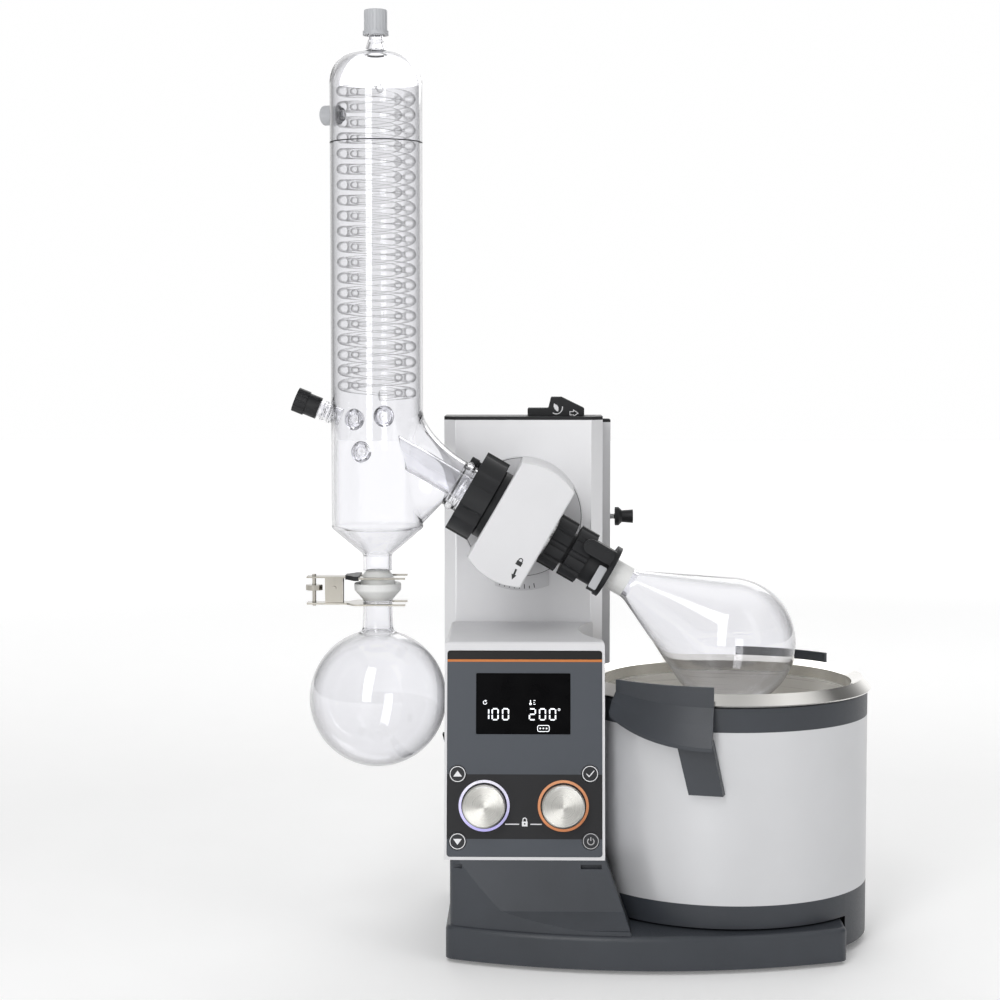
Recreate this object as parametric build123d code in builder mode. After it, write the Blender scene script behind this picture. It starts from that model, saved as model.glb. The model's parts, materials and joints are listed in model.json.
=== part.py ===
from build123d import *
from math import asin, atan2, cos, degrees, hypot, radians, sin, sqrt
import os

# Rotary evaporator. Millimetres, bench at Z = 0, X to the right of the panel, Y to the back.
# The spin axis, the condenser and the bath centre lie in the plane Y = 0.

os.makedirs("parts", exist_ok=True)

# Clearances
slide_gap = 0.3
fit_gap = 0.05
bath_gap = 3.0

# Base
foot_height = 4.0
foot_radius = 11.0
foot_inset = 24.0
base_top = 36.0
base_left = -131.5
base_back = 165.0
base_front_left = -124.0
base_front_right = -127.0
base_front_bow = -165.0
base_bow_x = 88.5
base_corner = 12.0
base_edge = 5.0
base_wall = 3.0
plate_thick = 2.0

# Heating bath
bath_left = 4.5
bath_shell_radius = 141.0
bath_x = bath_left + bath_shell_radius
bath_overhang = 34.0
base_right = bath_x + bath_shell_radius - bath_overhang
bath_jacket = 16.0
bath_pan_radius = bath_shell_radius - bath_jacket
bath_pan_floor = 118.0
bath_pan_corner = 20.0
bath_sheet = 1.5
bath_rim_top = 262.0
bath_ridge_radius = bath_shell_radius - 5.0
bath_lip_radius = bath_shell_radius + 4.0
bath_lip_drop = 10.0
bath_shell_wall = 2.0
bath_band_low = 226.0
bath_foot_top = 60.0
bath_foot_low = 38.0
bath_skirt_low = 8.0
heater_radius = bath_pan_radius - 25.0
heater_thick = 8.0
handle_start = -50.0
handle_end = -9.0
handle_top = 270.0
handle_reach = 27.0
handle_drop = 58.0
handle_plate = 7.0
handle_leg_low = 167.5
handle_leg_width = 33.0
handle_leg_lean = 11.0
handle_leg_thick = 11.0

# Pedestal and control housing
panel_left = -132.9
panel_right = 21.2
panel_foot_y = -125.0
panel_foot_z = 103.0
panel_tilt = 8.6
panel_height = 196.8
panel_border = 2.6
panel_thick = 4.0
panel_corner = 3.0
pedestal_top = 100.0
pedestal_back = 162.0
pedestal_inset = 4.0
pedestal_wall = 6.0
pedestal_flare = 24.3
pedestal_knee = (-140.0, 54.0)
pedestal_toe = (-157.0, 40.0)
vent_slot_height = 4.0
vent_slot_depth = 8.0
vent_slot_z = 94.0
vent_slots = ((-122.0, 13.0), (8.0, 20.0))
housing_top = 306.0
housing_back = 67.0
housing_wall = 3.0
housing_edge = 4.0

# Panel furniture, measured on the panel from the middle of its lower edge
display_width = 90.6
display_height = 58.4
display_u = -1.4
display_drop = 50.9
display_v = panel_height - display_drop
display_depth = 1.2
knob_v = 48.5
speed_knob_u = -38.7
heat_knob_u = 37.1
knob_radius = 20.4
knob_depth = 17.0
knob_stand_off = 1.0
knob_dish = 1.2
knob_shaft_radius = 3.0
ring_radius = 24.5
ring_depth = 2.0
ring_proud = 0.8
button_radius = 8.3
button_proud = 0.8
button_travel = 1.0
button_places = {
    "button_up": (-64.3, 78.6),
    "button_set": (62.8, 79.2),
    "button_down": (-64.1, 14.6),
    "button_power": (63.4, 15.2),
}
board_depth = 12.0
board_thick = 1.6
board_margin = 12.0
encoder_size = 13.0
post_radius = 3.0

# Rocker switch on the left wall
switch_y = -75.0
switch_z = 205.0
switch_height = 17.0
switch_width = 12.0
switch_proud = 3.2
switch_pivot = 3.0
switch_barrel = 6.5
switch_swing = 1.2

# Mains inlet
inlet_x = -95.0
inlet_z = 68.0
inlet_width = 48.0
inlet_height = 28.0
inlet_flange = 3.0
inlet_body_depth = 18.0
socket_width = 27.0
socket_height = 19.0
socket_wall = 2.0
socket_corner = 5.0
pin_height = 4.0
pin_width = 2.0
pin_spread = 7.0

# Tower
mast_x = -58.6
mast_y = 114.0
rod_radius = 8.0
rod_top = 504.0
cover_left = -140.8
cover_right = 23.5
cover_front = 70.0
cover_back = 140.0
cover_chamfer = 12.0
cover_wall = 3.0
cover_low = 104.0
cover_top = 514.5
cap_thick = 3.5
column_left = -135.0
column_right = 33.5
column_front = 143.0
column_back = 162.0
column_top = 510.0
column_edge = 5.0
bracket_thick = 8.0
actuator_radius = 17.0
actuator_bore = 8.3
actuator_top = 205.0
actuator_rod_radius = 8.0
carriage_low = 210.0
carriage_high = 310.0
carriage_plate_top = 480.0
carriage_plate = 14.0
carriage_width = 118.0
carriage_cheek = 17.5
rod_spread = carriage_width - 2 * carriage_cheek
carriage_back = 132.0

# Tilt lock slider
lock_left = -54.5
lock_right = 4.5
lock_y = 105.0
lock_width = 26.0
lock_height = 8.0
lock_peak = 19.5
lock_peak_x = -30.0
lock_peak_width = 11.0
lock_travel = 12.0
lock_tongue = 6.0

# Depth stop knob on the rear column
stop_y = 152.0
stop_z = 409.0
stop_stem_radius = 2.5
stop_stem_end = 38.6
stop_flange_radius = 10.0
stop_flange_end = 44.4
stop_grip_radius = 6.4
stop_grip_end = 58.0

# Head, measured along the spin axis from the tilt pivot, positive towards the flask
pivot_x = -60.0
pivot_z = 415.0
spin_slope = 30.0
head_radius = 61.5
head_half = 30.0
head_front = 50.0
head_back = 60.0
head_wall = 4.0
head_cavity_half = 18.0
hub_pin_radius = 15.0
hub_pin_end = 94.0
disc_radius = 62.5
scale_radius = 77.0
scale_width = 56.0
scale_thick = 2.5
disc_boss_radius = 26.0
bearing_radius = 31.0
hub_radius = 20.0
hub_start = -34.0
hub_end = 52.0
pulley_radius = 24.0
pulley_half = 6.0
pulley_lip = 1.5
motor_offset = 37.5
motor_radius = 16.5
motor_shaft_radius = 2.5
motor_pulley_radius = 9.0
belt_thick = 2.0
belt_half = 4.0
flange_end = -43.0
flange_radius = 36.0
flange_front_radius = 33.0
seal_radius = 22.0
seal_end = -36.0
nut_start = -63.4
nut_end = -38.0
nut_radius = 43.5
nut_lip = 5.4
nut_lobes = 7
nut_groove = 14.0
nut_groove_depth = 3.4
coupling_start = 33.0
coupling_end = 52.0
coupling_radius = 27.5
coupling_ribs = 10
coupling_groove = 4.0
coupling_groove_depth = 2.2
clip_ring_start = 56.0
clip_ring_end = 75.0
clip_sleeve_radius = 17.0
clip_waist_radius = 22.0
clip_plate_start = 97.0
clip_plate_end = 102.0
clip_lever_width = 15.0
clip_lever_thick = 3.5
clip_lever_side = 15.0
clip_lever_start = 64.0
clip_foot_lift = 14.5
clip_dot_radius = 4.6
clip_dot_proud = 0.8
clip_pad_size = (9.0, 24.0, 2.5)

# Glass
vapour_radius = 13.5
vapour_wall = 1.6
vapour_start = -150.0
vapour_end = 128.0
vapour_bevel = 24.0
flask_neck_radius = 15.6
flask_neck_start = 97.0
flask_neck_end = 126.0
flask_centre = 243.0
flask_radius = 65.0
flask_wall = 1.5
condenser_x = -204.5
condenser_radius = 46.0
condenser_wall = 2.8
condenser_low = 409.5
condenser_high = 856.5
condenser_crown = 881.0
crown_bulge = 0.78
condenser_neck_radius = 8.5
condenser_neck_height = 17.0
condenser_neck_top = condenser_crown + condenser_neck_height
condenser_cone_low = 383.5
outlet_radius = 14.5
arm_radius = 24.5
arm_wall = 3.0
arm_flange_radius = 31.0
arm_flange_thick = 6.0
arm_bead_radius = 27.0
arm_bead_end = -70.0
arm_flare_start = -78.0
flare_offset = 32.5
flare_low = 404.0
flare_high = 530.0
flare_half_width = 28.0
top_cap_low = condenser_neck_top - 1.0
top_cap_height = 25.0
top_cap_top = top_cap_low + top_cap_height
top_cap_radius = 11.5
top_cap_ring = 12.8
top_cap_ring_height = 4.0
top_cap_ribs = 18
top_cap_groove = 0.9
feed_slope = 22.0
feed_z = 504.6
feed_radius = 9.0
feed_wall = 2.4
feed_tube_end = 66.0
feed_cap_start = 63.0
feed_cap_end = 88.0
feed_cap_radius = 12.3
feed_cap_step = 76.0
feed_cap_ribs = 12
feed_cap_groove = 1.2
vent_z = 822.0
vent_turn = 32.0
vent_radius = 7.0
vent_tube_end = 57.0
vent_cap_end = 63.0
vent_cap_radius = 10.0
port_radius = 7.0
port_wall = 2.0
port_end = 56.0
port_places = ((-27.0, 516.0), (4.0, 519.0), (-20.0, 483.0))
nipple_end = 84.0
nipple_radius = 4.6
nipple_bore = 2.6
coil_low = 540.0
coil_pitch = 15.3
coil_turns = 20
coil_radius = 34.2
coil_tube = 5.2
coil_sides = 6
inner_coil_radius = 22.5
inner_coil_tube = 3.6
inner_coil_low = 528.0
joint_z = 352.0
ball_radius = 17.5
cup_rim_radius = 23.5
cup_rim_top = 353.0
cup_low = 336.0
receiver_centre = 236.5
receiver_radius = 69.0
receiver_wall = 2.4
neck_fillet = 12.0

# Joint clamp
fork_thick = 1.8
fork_upper_z = 358.2
fork_lower_z = 333.4
fork_tip = 29.0
fork_tail = 71.0
fork_width = 44.0
fork_tail_width = 17.0
fork_slot_upper = 17.2
cheek_width = 18.0
clamp_pin_x = -248.0
clamp_pin_z = 348.0
clamp_pin_radius = 2.4
clamp_screw_x = -268.5
clamp_screw_radius = 2.0
clamp_wheel_radius = 8.5
clamp_wheel_z = 345.6
clamp_wheel_thick = 5.4

# Planes and axes of the assembly
spin_dir = (cos(radians(spin_slope)), 0, -sin(radians(spin_slope)))
spin = Plane(origin=(pivot_x, 0, pivot_z), x_dir=spin_dir, z_dir=(0, -1, 0))
spin_axis = Axis((pivot_x, 0, pivot_z), spin_dir)
bath_section = Plane(origin=(bath_x, 0, 0), x_dir=(1, 0, 0), z_dir=(0, -1, 0))
bath_axis = Axis((bath_x, 0, 0), (0, 0, 1))
tower_section = Plane(origin=(condenser_x, 0, 0), x_dir=(1, 0, 0), z_dir=(0, -1, 0))
condenser_axis = Axis((condenser_x, 0, 0), (0, 0, 1))
panel_normal = (0, -cos(radians(panel_tilt)), sin(radians(panel_tilt)))
panel_mid = (panel_left + panel_right) / 2
panel = Plane(origin=(panel_mid, panel_foot_y, panel_foot_z), x_dir=(1, 0, 0), z_dir=panel_normal)
panel_width = panel_right - panel_left - 2 * panel_border
panel_slope = sin(radians(panel_tilt)) / cos(radians(panel_tilt))
feed_dir = (-cos(radians(feed_slope)), 0, sin(radians(feed_slope)))
vent_dir = (-cos(radians(vent_turn)), sin(radians(vent_turn)), 0)
rod_xs = (mast_x - rod_spread / 2, mast_x + rod_spread / 2)


def outline(plane, *points):
    """Closed straight-sided face on a plane."""
    with BuildSketch(plane) as shape:
        with BuildLine():
            Polyline(*points, close=True)
        make_face()
    return shape.sketch


def ring(start, end, inner, outer):
    """Corners of the cross-section of a ring on the spin axis."""
    return (start, inner), (start, outer), (end, outer), (end, inner)


def spin_at(distance):
    """Plane square to the spin axis at a distance from the pivot."""
    return Plane(origin=spin.from_local_coords((distance, 0, 0)), x_dir=(0, 1, 0), z_dir=spin_dir)


def panel_y(height):
    """Depth of the panel face at a height above the bench."""
    return panel_foot_y + (height - panel_foot_z) * panel_slope


def save(piece, name):
    """Label a finished piece and write it."""
    piece.part.label = name
    export_step(piece.part, f"parts/{name}.step")


# Base housing, plate and feet
with BuildSketch() as base_outline:
    with BuildLine():
        Polyline(
            (base_left, base_front_left),
            (base_left, base_back),
            (base_right, base_back),
            (base_right, base_front_right),
        )
        ThreePointArc(
            (base_right, base_front_right),
            (base_bow_x, base_front_bow),
            (base_left, base_front_left),
        )
    make_face()
    fillet(base_outline.vertices(), base_corner)

with BuildPart() as base_housing:
    with BuildSketch(Plane.XY.offset(foot_height)):
        add(base_outline.sketch)
    extrude(amount=base_top - foot_height)
    fillet(base_housing.edges().group_by(Axis.Z)[-1], base_edge)
    with BuildSketch(Plane.XY.offset(foot_height)):
        add(base_outline.sketch)
        offset(amount=-base_wall)
    extrude(amount=base_top - foot_height - base_wall, mode=Mode.SUBTRACT)
save(base_housing, "base_housing")

with BuildPart() as base_plate:
    with BuildSketch(Plane.XY.offset(foot_height)):
        add(base_outline.sketch)
        offset(amount=-base_wall - slide_gap)
    extrude(amount=plate_thick)
save(base_plate, "base_plate")

with BuildPart() as rubber_feet:
    with Locations(
        (base_left + foot_inset, base_front_left + foot_inset),
        (base_left + foot_inset, base_back - foot_inset),
        (base_right - foot_inset, base_back - foot_inset),
        (base_right - foot_inset, base_front_right + foot_inset),
    ):
        Cylinder(foot_radius, foot_height, align=(Align.CENTER, Align.CENTER, Align.MIN))
    chamfer(rubber_feet.edges().group_by(Axis.Z)[0], foot_height / 4)
save(rubber_feet, "rubber_feet")

# Pedestal: follows the bow of the base, slopes back under the panel and is hollowed round the bath
pedestal_low_right = panel_right + pedestal_flare
hollow_left = base_left + pedestal_inset + pedestal_wall
hollow_right = bath_x - bath_shell_radius - bath_gap - pedestal_wall
hollow_back = mast_y - 1.5 * actuator_radius - pedestal_wall
with BuildPart() as pedestal:
    with BuildSketch(Plane.XY.offset(base_top)):
        add(base_outline.sketch)
        offset(amount=-pedestal_inset)
        with Locations((pedestal_low_right, pedestal_back)):
            Rectangle(
                base_right - base_left,
                base_back - 2 * base_front_bow,
                align=(Align.MAX, Align.MAX),
                mode=Mode.INTERSECT,
            )
    extrude(amount=pedestal_top - base_top)
    front_wedge = outline(
        Plane.YZ.offset(base_left),
        (panel_foot_y, pedestal_top),
        pedestal_knee,
        pedestal_toe,
        (base_front_bow, pedestal_toe[1]),
        (base_front_bow, pedestal_top),
    )
    extrude(front_wedge, amount=base_right - base_left, mode=Mode.SUBTRACT)
    side_wedge = outline(
        Plane.XZ,
        (panel_right, pedestal_top),
        (pedestal_low_right, base_top),
        (pedestal_low_right, pedestal_top),
    )
    extrude(side_wedge, amount=base_back - base_front_bow, both=True, mode=Mode.SUBTRACT)
    with Locations((bath_x, 0, base_top)):
        Cylinder(
            bath_shell_radius + bath_gap,
            pedestal_top - base_top,
            align=(Align.CENTER, Align.CENTER, Align.MIN),
            mode=Mode.SUBTRACT,
        )
    with Locations((mast_x, mast_y, base_top)):
        Box(
            rod_spread + 4 * rod_radius,
            3 * actuator_radius,
            pedestal_top - base_top - base_wall,
            align=(Align.CENTER, Align.CENTER, Align.MIN),
            mode=Mode.SUBTRACT,
        )
    with Locations((hollow_left, panel_foot_y + pedestal_wall, base_top)):
        Box(
            hollow_right - hollow_left,
            hollow_back - panel_foot_y - pedestal_wall,
            pedestal_top - base_top - pedestal_wall,
            align=(Align.MIN, Align.MIN, Align.MIN),
            mode=Mode.SUBTRACT,
        )
    with Locations(*((x, mast_y, pedestal_top) for x in rod_xs)):
        Hole(rod_radius + fit_gap)
    with Locations((mast_x, mast_y, pedestal_top)):
        Hole(actuator_radius + slide_gap)
    with Locations((inlet_x, pedestal_back, inlet_z)):
        Box(
            socket_width + 2 * socket_wall + slide_gap,
            2 * inlet_body_depth + slide_gap,
            socket_height + 2 * socket_wall + slide_gap,
            mode=Mode.SUBTRACT,
        )
    for slot_x, slot_width in vent_slots:
        with Locations((slot_x, panel_y(vent_slot_z), vent_slot_z)):
            Box(slot_width, vent_slot_depth, vent_slot_height, mode=Mode.SUBTRACT)
save(pedestal, "pedestal")

# Control housing: sloping front, wall hollowed round the bath rim
with BuildPart() as control_housing:
    side = outline(
        Plane.YZ.offset(panel_left),
        (panel_y(pedestal_top), pedestal_top),
        (panel_y(housing_top), housing_top),
        (housing_back, housing_top),
        (housing_back, pedestal_top),
    )
    extrude(side, amount=panel_right - panel_left)
    fillet(control_housing.edges().group_by(Axis.Z)[-1], housing_edge)
    with Locations((bath_x, 0, pedestal_top)):
        Cylinder(
            bath_lip_radius + bath_gap,
            housing_top - pedestal_top,
            align=(Align.CENTER, Align.CENTER, Align.MIN),
            mode=Mode.SUBTRACT,
        )
    cavity = outline(
        Plane.YZ.offset(panel_left + housing_wall),
        (panel_y(pedestal_top) + panel_thick + housing_wall, pedestal_top),
        (panel_y(housing_top) + panel_thick + housing_wall, housing_top - housing_wall),
        (housing_back - housing_wall, housing_top - housing_wall),
        (housing_back - housing_wall, pedestal_top),
    )
    cavity_right = bath_x - bath_lip_radius - bath_gap - housing_wall
    extrude(cavity, amount=cavity_right - panel_left - housing_wall, mode=Mode.SUBTRACT)
    with BuildSketch(panel):
        with Locations((0, panel_height / 2)):
            RectangleRounded(panel_width + slide_gap, panel_height + slide_gap, panel_corner)
    extrude(amount=-panel_thick, mode=Mode.SUBTRACT)
    with BuildSketch(panel.offset(-panel_thick)):
        with Locations((cavity_right / 2 - panel_mid / 2 - panel_width / 4, panel_height / 2)):
            Rectangle(cavity_right - panel_mid + panel_width / 2 - board_margin, panel_height - board_margin)
    extrude(amount=-2 * housing_wall, mode=Mode.SUBTRACT)
    with Locations((panel_left, switch_y, switch_z)):
        Box(
            4 * housing_wall,
            switch_width + 2 * slide_gap,
            switch_height + 2 * switch_swing,
            mode=Mode.SUBTRACT,
        )
save(control_housing, "control_housing")

# Control panel with its openings, display and light rings
knob_places = {"speed": (speed_knob_u, knob_v), "heat": (heat_knob_u, knob_v)}
with BuildPart() as control_panel:
    with BuildSketch(panel):
        with Locations((0, panel_height / 2)):
            RectangleRounded(panel_width, panel_height, panel_corner)
        with Locations(*button_places.values()):
            Circle(button_radius + slide_gap, mode=Mode.SUBTRACT)
        with Locations(*knob_places.values()):
            Circle(knob_shaft_radius + slide_gap, mode=Mode.SUBTRACT)
    extrude(amount=-panel_thick)
    with BuildSketch(panel):
        with Locations((display_u, display_v)):
            Rectangle(display_width + slide_gap, display_height + slide_gap)
    extrude(amount=-display_depth, mode=Mode.SUBTRACT)
    with BuildSketch(panel):
        with Locations(*knob_places.values()):
            Circle(ring_radius + slide_gap / 2)
            Circle(knob_radius, mode=Mode.SUBTRACT)
    extrude(amount=ring_proud - ring_depth, mode=Mode.SUBTRACT)
save(control_panel, "control_panel")

with BuildPart() as display_window:
    with BuildSketch(panel.offset(-display_depth)):
        with Locations((display_u, display_v)):
            RectangleRounded(display_width, display_height, display_depth)
    extrude(amount=display_depth)
save(display_window, "display_window")

for control, place in knob_places.items():
    with BuildPart() as light_ring:
        with BuildSketch(panel.offset(ring_proud - ring_depth)):
            with Locations(place):
                Circle(ring_radius)
                Circle(knob_radius + slide_gap, mode=Mode.SUBTRACT)
        extrude(amount=ring_depth)
        chamfer(light_ring.faces().sort_by(Axis(panel.origin, panel_normal))[-1].edges(), ring_proud / 2)
    save(light_ring, f"{control}_light_ring")

    with BuildPart() as knob:
        knob_plane = Plane(panel.from_local_coords((*place, 0)), x_dir=(1, 0, 0), z_dir=panel_normal)
        with BuildSketch(knob_plane.offset(knob_stand_off)):
            Circle(knob_radius)
        extrude(amount=knob_depth)
        chamfer(knob.edges().sort_by(Axis(panel.origin, panel_normal))[-1], knob_dish)
        with BuildSketch(knob_plane.offset(knob_stand_off + knob_depth)):
            Circle(knob_radius - 2 * knob_dish)
        extrude(amount=-knob_dish, taper=-30, mode=Mode.SUBTRACT)
        with BuildSketch(knob_plane.offset(knob_stand_off)):
            Circle(knob_shaft_radius + fit_gap)
        extrude(amount=knob_depth / 2, mode=Mode.SUBTRACT)
    save(knob, f"{control}_knob")

for button_name, place in button_places.items():
    with BuildPart() as button:
        with BuildSketch(panel.offset(button_proud)):
            with Locations(place):
                Circle(button_radius)
        extrude(amount=button_travel + slide_gap / 2 - panel_thick - button_proud)
        chamfer(button.faces().sort_by(Axis(panel.origin, panel_normal))[-1].edges(), button_proud / 2)
    save(button, button_name)

# Control board on posts behind the panel, with the two encoders and their shafts
with BuildPart() as control_board:
    board_width = cavity_right - panel_mid + panel_width / 2 - 2 * board_margin
    board_u = cavity_right / 2 - panel_mid / 2 - panel_width / 4
    board_v = panel_height / 2
    board_height = panel_height - 2 * board_margin
    with BuildSketch(panel.offset(-panel_thick - board_depth)):
        with Locations((board_u, board_v)):
            Rectangle(board_width, board_height)
    extrude(amount=-board_thick)
    with BuildSketch(panel.offset(-panel_thick - board_depth)):
        with Locations((board_u, board_v)):
            with GridLocations(board_width - 4 * post_radius, board_height - 4 * post_radius, 2, 2):
                Circle(post_radius)
        with Locations(*knob_places.values()):
            Rectangle(encoder_size, encoder_size)
    extrude(amount=board_depth)
    with BuildSketch(panel.offset(-panel_thick)):
        with Locations(*knob_places.values()):
            Circle(knob_shaft_radius)
    extrude(amount=panel_thick + knob_depth / 2)
save(control_board, "control_board")

# Rocker switch in the left wall, its left-hand side standing proud
with BuildPart() as power_switch:
    with BuildSketch(Plane(origin=(panel_left, switch_y, switch_z), x_dir=(1, 0, 0), z_dir=(0, -1, 0))):
        with Locations((switch_pivot, 0)):
            Circle(switch_barrel)
            Rectangle(
                switch_barrel,
                2 * switch_barrel,
                align=(Align.MIN, Align.CENTER),
                mode=Mode.INTERSECT,
            )
        with BuildLine():
            Polyline(
                (-switch_proud, switch_height / 2),
                (-switch_proud / 3, 0),
                (-switch_proud / 3, -switch_height / 2),
                (switch_pivot, -switch_height / 2),
                (switch_pivot, switch_height / 2),
                close=True,
            )
        make_face()
    extrude(amount=switch_width / 2, both=True)
save(power_switch, "power_switch")

# Mains inlet in the back of the pedestal: flange, body, socket and three pins
with BuildPart() as mains_inlet:
    inlet = Plane(origin=(inlet_x, pedestal_back, inlet_z), x_dir=(-1, 0, 0), z_dir=(0, 1, 0))
    with BuildSketch(inlet):
        RectangleRounded(inlet_width, inlet_height, inlet_flange)
    extrude(amount=inlet_flange)
    with BuildSketch(inlet):
        Rectangle(socket_width + 2 * socket_wall, socket_height + 2 * socket_wall)
    extrude(amount=-inlet_body_depth)
    with BuildSketch(inlet.offset(inlet_flange)) as socket:
        Rectangle(socket_width, socket_height)
        chamfer(socket.vertices().group_by(Axis.Y)[-1], socket_corner)
    extrude(amount=socket_wall - inlet_flange - inlet_body_depth, mode=Mode.SUBTRACT)
    with BuildSketch(inlet.offset(socket_wall - inlet_body_depth)):
        with Locations((-pin_spread, 0), (0, pin_height / 2), (pin_spread, 0)):
            Rectangle(pin_width, pin_height)
    extrude(amount=inlet_body_depth - socket_wall)
save(mains_inlet, "mains_inlet")

# Rear column with the bracket that holds the rod tops, and its cap
with BuildPart() as rear_column:
    with BuildSketch(Plane.XY.offset(pedestal_top)) as column_plan:
        with Locations(((column_left + column_right) / 2, (column_front + column_back) / 2)):
            Rectangle(column_right - column_left, column_back - column_front)
        chamfer(column_plan.vertices().group_by(Axis.Y)[-1], column_edge)
    extrude(amount=column_top - pedestal_top)
    with BuildSketch(Plane.XY.offset(pedestal_top)):
        add(column_plan.sketch)
        offset(amount=-cover_wall)
    extrude(amount=column_top - pedestal_top, mode=Mode.SUBTRACT)
    with BuildSketch(Plane.XY.offset(rod_top - bracket_thick)):
        with Locations((mast_x, column_front)):
            Rectangle(
                carriage_width,
                column_front - mast_y + 1.5 * rod_radius,
                align=(Align.CENTER, Align.MAX),
            )
        with Locations(*((x, mast_y) for x in rod_xs)):
            Circle(rod_radius + fit_gap, mode=Mode.SUBTRACT)
    extrude(amount=bracket_thick)
save(rear_column, "rear_column")

with BuildPart() as rear_column_cap:
    with BuildSketch(Plane.XY.offset(column_top)) as column_lid:
        with Locations(((column_left + column_right) / 2, (column_front + column_back) / 2)):
            Rectangle(column_right - column_left, column_back - column_front)
        chamfer(column_lid.vertices().group_by(Axis.Y)[-1], column_edge)
    extrude(amount=cap_thick)
    fillet(rear_column_cap.edges().group_by(Axis.Z)[-1], cap_thick / 2)
save(rear_column_cap, "rear_column_cap")

# Guide rods and the telescopic lift actuator, standing on the base
with BuildPart() as guide_rods:
    with BuildSketch(Plane.XY.offset(base_top)):
        with Locations(*((x, mast_y) for x in rod_xs)):
            Circle(rod_radius)
    extrude(amount=rod_top - base_top)
save(guide_rods, "guide_rods")

with BuildPart() as lift_actuator:
    with BuildSketch(Plane.XY.offset(base_top)):
        with Locations((mast_x, mast_y)):
            Circle(actuator_radius)
    extrude(amount=actuator_top - base_top)
    with BuildSketch(Plane.XY.offset(actuator_top)):
        with Locations((mast_x, mast_y)):
            Circle(actuator_bore)
    extrude(amount=base_top + plate_thick - actuator_top, mode=Mode.SUBTRACT)
save(lift_actuator, "lift_actuator")

with BuildPart() as actuator_rod:
    with BuildSketch(Plane.XY.offset(base_top + plate_thick + slide_gap)):
        with Locations((mast_x, mast_y)):
            Circle(actuator_rod_radius)
    extrude(amount=carriage_low - base_top - plate_thick - slide_gap)
save(actuator_rod, "actuator_rod")

# Carriage: plate behind the cover and bush block on the rods
with BuildPart() as carriage_block:
    cover_inside = cover_front + cover_wall
    with Locations((mast_x, cover_inside, carriage_low)):
        Box(
            carriage_width,
            carriage_plate,
            carriage_plate_top - carriage_low,
            align=(Align.CENTER, Align.MIN, Align.MIN),
        )
        Box(
            carriage_width,
            carriage_back - cover_inside,
            carriage_high - carriage_low,
            align=(Align.CENTER, Align.MIN, Align.MIN),
        )
    with Locations(*((x, mast_y, carriage_high) for x in rod_xs)):
        Hole(rod_radius + fit_gap)
    with BuildSketch(Plane.XZ.offset(-cover_inside)):
        with Locations((pivot_x, pivot_z)):
            Circle(hub_pin_radius + fit_gap)
    extrude(amount=-carriage_plate, mode=Mode.SUBTRACT)
    chamfer(carriage_block.edges().filter_by(Axis.Y).group_by(Axis.Z)[-1], carriage_plate)
save(carriage_block, "carriage_block")

# Lift cover and cap: chamfered front corners, open back


def cover_corners(inset, back):
    """Plan corners of the tower, moved inwards by an inset."""
    left = cover_left + inset
    right = cover_right - inset
    front = cover_front + inset
    cut = cover_chamfer - inset / 2
    return (
        (left, back),
        (left, front + cut),
        (left + cut, front),
        (right - cut, front),
        (right, front + cut),
        (right, back),
    )


with BuildPart() as lift_cover:
    extrude(outline(Plane.XY.offset(cover_low), *cover_corners(0, cover_back)), amount=cover_top - cover_low)
    inside = outline(Plane.XY.offset(cover_low), *cover_corners(cover_wall, cover_back + cover_wall))
    extrude(inside, amount=cover_top - cover_low, mode=Mode.SUBTRACT)
    with BuildSketch(Plane.XZ.offset(-cover_front)):
        with Locations((pivot_x, pivot_z)):
            Circle(disc_boss_radius + slide_gap)
    extrude(amount=-cover_wall, mode=Mode.SUBTRACT)
save(lift_cover, "lift_cover")

with BuildPart() as lift_cap:
    extrude(outline(Plane.XY.offset(cover_top), *cover_corners(0, cover_back)), amount=cap_thick)
    chamfer(lift_cap.edges().group_by(Axis.Z)[-1].group_by(Axis.Y)[0], cap_thick / 2)
    with Locations((lock_left, lock_y, cover_top)):
        Box(
            lock_right - lock_left + lock_travel,
            lock_tongue + 2 * slide_gap,
            cap_thick,
            align=(Align.MIN, Align.CENTER, Align.MIN),
            mode=Mode.SUBTRACT,
        )
save(lift_cap, "lift_cap")

# Tilt lock slider: low bar with a raised thumb peak and a tongue in the cap
with BuildPart() as tilt_lock:
    lock_low = cover_top + cap_thick + slide_gap
    lock_side = outline(
        Plane.XZ.offset(-lock_y),
        (lock_left, lock_low),
        (lock_right, lock_low),
        (lock_right, lock_low + lock_height),
        (lock_peak_x + lock_peak_width, lock_low + lock_peak),
        (lock_peak_x, lock_low + lock_peak),
        (lock_peak_x - lock_peak_width / 4, lock_low + lock_height),
        (lock_left, lock_low + lock_height),
    )
    extrude(lock_side, amount=lock_width / 2, both=True)
    fillet(tilt_lock.edges().filter_by(Axis.Y).group_by(Axis.Z)[1:], lock_height / 5)
    with Locations((lock_left + lock_tongue, lock_y, lock_low)):
        Box(
            lock_right - lock_left - 2 * lock_tongue,
            lock_tongue,
            cap_thick,
            align=(Align.MIN, Align.CENTER, Align.MAX),
        )
save(tilt_lock, "tilt_lock")

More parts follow.
